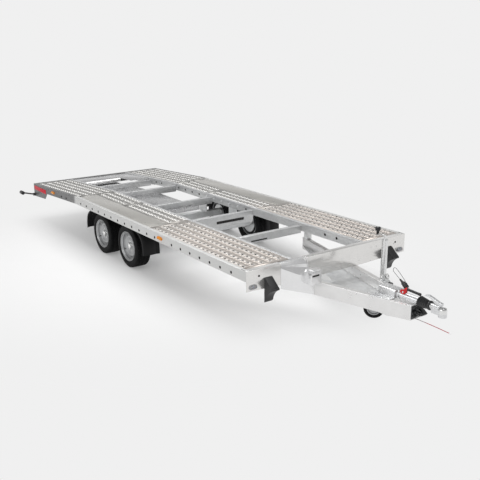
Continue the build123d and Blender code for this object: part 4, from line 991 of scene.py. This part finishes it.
arm_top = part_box("drawbar_arm_left")[1].z
GAP, FOOT_TOP = 0.0003, 0.005
ARM_SLOPE = 0.26
BRACE_WEB = ((3.345, 0.215, 0.052), (3.4, 0.2, 0.058), (3.452, 0.186, 0.05), (3.56, 0.157, 0.006))
BRACE_FOOT = ((3.345, 0.195), (3.56, 0.139), (3.56, 0.175), (3.345, 0.235))
BRACE_BOLTS = ((3.372, 0.195), (3.47, 0.169), (3.535, 0.154))
EYE_AXIS = (ARM_SLOPE, 0.97, 0)
EYE_RING = [
    (-0.014, 0.012), (-0.014, 0.027), (-0.011, 0.03), (0.011, 0.03), (0.014, 0.027), (0.014, 0.012)]
EYE_PIN = [(-0.018, 0.008), (0.018, 0.008)]


def make_brace():
    """Upright web on a bolted foot, along the arm."""
    web = [(at(x) + ARM_SLOPE * dy, y + dy, arm_top + z) for x, y, rise in BRACE_WEB
           for dy, z in ((-0.003, GAP), (-0.003, rise), (0.003, rise), (0.003, GAP))]
    foot = [(at(x), y, arm_top + z) for z in (GAP, FOOT_TOP) for x, y in BRACE_FOOT]
    brace = Shape().add(web, capped(len(BRACE_WEB), 4)).add(foot, capped(2, 4))
    for x, y in BRACE_BOLTS:
        brace.bolt((at(x), y, arm_top + FOOT_TOP), (0, 0, 1), 0.0085, 0.006)
    brace.make("jockey_brace", "galvanised", slot="galvanised")


def make_eye():
    """Ring and pin at the top of the brace."""
    centre = (at(3.418), 0.196, arm_top + 0.06)
    eye = Shape().turned(centre, EYE_AXIS, EYE_RING, 36).spun(centre, EYE_AXIS, EYE_PIN, 18)
    eye.make("jockey_eye", "bright_zinc", slot="zinc_bright")


def make_catch():
    """Black block and roller beside the brace."""
    catch = Shape().box((at(3.478), 0.152, arm_top + 0.005), (at(3.53), 0.168, arm_top + 0.036), 0.004)
    catch.spun((at(3.504), 0.145, arm_top + 0.024), (0, 1, 0), [(0, 0.011), (0.03, 0.011)], 20)
    catch.make("jockey_catch", "black_paint", slot="black_steel")


make_brace()
make_eye()
make_catch()

# ---- claw round the end of the bellows

CLAWS, CLAW_TURN, CLAW_X = 6, 0.4, at(4.094)
CLAW_COLLAR = [(0, 0.03), (0, 0.0415), (0.004, 0.043), (0.012, 0.042), (0.013, 0.03)]
CLAW_ENDS = ((0.01, 0.0405, 0.0325, 0.0085), (0.034, 0.0385, 0.0345, 0.0022))


def make_claw():
    """Collar with tapered fingers round the end of the bellows."""
    claw = Shape().turned((CLAW_X, 0, coupling_z), (1, 0, 0), CLAW_COLLAR, 40)
    for k in range(CLAWS):
        t = 2 * pi * k / CLAWS + CLAW_TURN
        c, d = cos(t), sin(t)
        finger = [(CLAW_X + a, r * c - w * d, coupling_z + r * d + w * c) for a, top, foot, half in CLAW_ENDS
                  for r, w in ((top, -half), (top, half), (foot, half), (foot, -half))]
        claw.add(finger, capped(2, 4))
    claw.make("bellows_claw", "black_rubber", slot="black_rubber")


make_claw()

# ---- bolts, rods and spring of the brake linkage

link_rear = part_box("brake_linkage")[0].x
link_face = link_rear + 0.008
LINK_NUTS = ((-0.056, 0.404, 0.011), (0.056, 0.404, 0.011), (-0.056, 0.33, 0.01), (0.056, 0.33, 0.01))
LINK_PINS = ((0.052, 0.352, 0.01, 0.007), (0.03, 0.378, 0.008, 0.006))
LINK_PIN_Y = 0.03
LINK_RODS = ((-0.046, 0.368, 0.06, 0.006), (0.046, 0.352, 0.05, 0.005))
COIL_TURNS, COIL_STEPS, COIL_SIDES = 7, 14, 8
COIL_FROM, COIL_RUN, COIL_RADIUS, WIRE_RADIUS = 0.006, 0.044, 0.0105, 0.0022


def make_linkage():
    fixings = Shape()
    for y, z, size in LINK_NUTS:
        fixings.bolt((link_face, y, z), (1, 0, 0), size, 0.009)
    for s in (1, -1):
        for x, z, size, height in LINK_PINS:
            fixings.bolt((link_rear + x, s * LINK_PIN_Y, z), (0, s, 0), size, height)
    for y, z, length, r in LINK_RODS:
        fixings.spun((link_face, y, z), (1, 0, 0), [(0, r), (length, r)], 14)
    fixings.make("linkage_fixings", "cast_iron", slot="cast_iron")


def make_spring():
    """Coil spring round the right-hand rod."""
    y, z = LINK_RODS[0][:2]
    steps = COIL_TURNS * COIL_STEPS
    path = []
    for i in range(steps + 1):
        t = 2 * pi * i / COIL_STEPS
        radial = Vector((0, cos(t), sin(t)))
        centre = Vector((link_face + COIL_FROM + COIL_RUN * i / steps, y, z))
        path.append((centre + radial * COIL_RADIUS, radial, (1, 0, 0)))
    turns = [2 * pi * k / COIL_SIDES for k in range(COIL_SIDES)]
    spring = Shape().swept(path, [(WIRE_RADIUS * cos(t), WIRE_RADIUS * sin(t)) for t in turns])
    spring.make("linkage_spring", "black_paint", slot="black_steel")


make_linkage()
make_spring()

# ---- cords

def round_cord(name, root, steps, radius, finish):
    """Free cord on one smooth spline through its route's control points."""
    curve = bpy.data.curves.new(name, "CURVE")
    curve.dimensions = "3D"
    curve.bevel_depth = radius
    curve.bevel_resolution = 5
    curve.resolution_u = 12
    curve.use_fill_caps = True
    spline = curve.splines.new("NURBS")
    spline.points.add(len(steps) - 1)
    for point, step in zip(spline.points, steps):
        point.co = (*(Vector(root) + Vector(step)), 1)
    spline.order_u = 3
    spline.use_endpoint_u = True
    curve.materials.append(MATS[finish])
    obj = new_object(name, curve)
    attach(obj, "trailer")
    return obj


boot_end = (at(3.729), 0.024, 0.586)
LOOP_STEPS = (
    (0, 0, 0), (-0.032, 0, 0.0206), (-0.066, 0.0004, 0.0435), (-0.0834, 0.0008, 0.0541),
    (-0.0873, 0.0014, 0.0723), (-0.0772, 0.002, 0.0879), (-0.059, 0.0022, 0.0918), (-0.0415, 0.002, 0.0815),
    (-0.015, 0.0014, 0.063), (0.015, 0.0006, 0.0405), (0.046, 0, 0.014), (0.072, 0, -0.0125))
loop = round_cord("plug_loop", boot_end, LOOP_STEPS, 0.002, "grey_sheath")
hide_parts("plug_cord")

cable_root = (at(3.9663), -0.04, 0.31)
CABLE_STEPS = (
    (0, 0, 0), (0.0767, 0, 0), (0.1547, 0.0004, -0.0016), (0.2347, 0.0012, -0.0043),
    (0.3127, 0.0024, -0.0085), (0.3887, 0.004, -0.014))
FERRULE = [(0, 0.0036), (0.0158, 0.0036), (0.0165, 0.003)]
FERRULE_LENGTH = 0.016
cable = round_cord("breakaway_line", cable_root, CABLE_STEPS, 0.003, "cable_sheath")
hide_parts("breakaway_cable")
last = Vector(cable_root) + Vector(CABLE_STEPS[-1])
run = (Vector(CABLE_STEPS[-1]) - Vector(CABLE_STEPS[-2])).normalized()
ferrule = Shape().spun(last - run * FERRULE_LENGTH, run, FERRULE, 20)
ferrule = ferrule.make("line_ferrule", "zinc_head", slot="galvanised")

# ---- floor

PAPER = 0.871
SPAN = 60.0
PLAIN_FROM, PLAIN_TO = 1.1, 3.9
SHADED_SHARE = 0.75


def paper_finish():
    """Light paper that takes shadows near the trailer and goes plain further out."""
    tree = new_material("studio_paper")
    shader = tree.nodes["Principled BSDF"]
    colour = two_tone(tree, noise(tree, 4.0), (0.8, 0.8, 0.8), (0.81, 0.81, 0.81))
    tree.links.new(colour, shader.inputs["Base Color"])
    shader.inputs["Roughness"].default_value = 0.9
    shader.inputs["Specular IOR Level"].default_value = 0.1
    reach = add_node(tree, "ShaderNodeVectorMath", [(object_place(tree), 0)], operation="DISTANCE")
    reach.inputs[1].default_value = (zero_x, 0, 0)
    share = add_node(tree, "ShaderNodeMapRange", [(reach.outputs["Value"], "Value")], From_Min=PLAIN_FROM,
                     From_Max=PLAIN_TO, To_Min=1 - SHADED_SHARE, interpolation_type="SMOOTHSTEP")
    plain = add_node(tree, "ShaderNodeEmission", Color=(PAPER, PAPER, PAPER, 1), Strength=1.0)
    links = [(share.outputs["Result"], 0), (shader.outputs["BSDF"], 1), (plain.outputs["Emission"], 2)]
    mix = add_node(tree, "ShaderNodeMixShader", links)
    tree.links.new(mix.outputs["Shader"], tree.nodes["Material Output"].inputs["Surface"])
    return MATS["studio_paper"]


floor_mesh = bpy.data.meshes.new("studio_floor")
floor_mesh.from_pydata([(-SPAN, -SPAN, 0), (SPAN, -SPAN, 0), (SPAN, SPAN, 0), (-SPAN, SPAN, 0)], [],
                       [(0, 1, 2, 3)])
studio = new_object("studio_floor", floor_mesh)
floor_mesh.materials.append(paper_finish())

# ---- sky and lights

SKY_BANDS = ((0.1, PAPER), (0.24, 0.5), (0.55, 0.34))
SKY_TOP = 0.62
world = bpy.data.worlds.new("studio")
bpy.context.scene.world = world
world.use_nodes = True
sky = world.node_tree
around = add_node(sky, "ShaderNodeTexCoord").outputs["Generated"]
height = add_node(sky, "ShaderNodeSeparateXYZ", [(around, "Vector")])
dome = add_node(sky, "ShaderNodeValToRGB", [(height.outputs["Z"], "Fac")])
dome.color_ramp.interpolation = "EASE"
for stop, level in SKY_BANDS:
    mark = dome.color_ramp.elements.new(stop)
    mark.color = (level, level, level, 1)
dome.color_ramp.elements[0].color = (PAPER, PAPER, PAPER, 1)
dome.color_ramp.elements[-1].color = (SKY_TOP, SKY_TOP, SKY_TOP, 1)
sky.links.new(dome.outputs["Color"], sky.nodes["Background"].inputs["Color"])
sky.nodes["Background"].inputs["Strength"].default_value = 1.0
bpy.context.scene.view_settings.view_transform = "Standard"


def softbox(name, place, target, size, power):
    data = bpy.data.lights.new(name, "AREA")
    data.shape = "RECTANGLE"
    data.size, data.size_y = size
    data.energy = power
    lamp = new_object(name, data)
    lamp.location = place
    lamp.rotation_euler = (Vector(target) - Vector(place)).to_track_quat("-Z", "Y").to_euler()


softbox("softbox_top", (zero_x, 0.5, 7.0), (zero_x, 0, 0), (9.0, 6.0), 500)
softbox("softbox_side", (at(2.0), -8.0, 4.5), (at(0.5), 0, 0.4), (7.0, 3.5), 180)

# ---- camera

AZIMUTH, ELEVATION, ROLL = radians(54.53), radians(16.33), radians(-0.48)
LENS, SENSOR = 51.8, 36
CAMERA_FROM_ZERO = Vector((7.6335, -4.506, 2.665))
back = Vector((sin(AZIMUTH) * cos(ELEVATION), -cos(AZIMUTH) * cos(ELEVATION), sin(ELEVATION)))
level = Vector((0, 0, 1)).cross(back).normalized()
upward = back.cross(level)
across = level * cos(ROLL) + upward * sin(ROLL)
above = -level * sin(ROLL) + upward * cos(ROLL)
camera_data = bpy.data.cameras.new("camera")
camera_data.lens = LENS
camera_data.sensor_width = SENSOR
camera = new_object("camera", camera_data)
camera.matrix_world = Matrix.Translation(Vector((zero_x, 0, 0)) + CAMERA_FROM_ZERO) @ Matrix(
    (across, above, back)).transposed().to_4x4()
bpy.context.scene.camera = camera
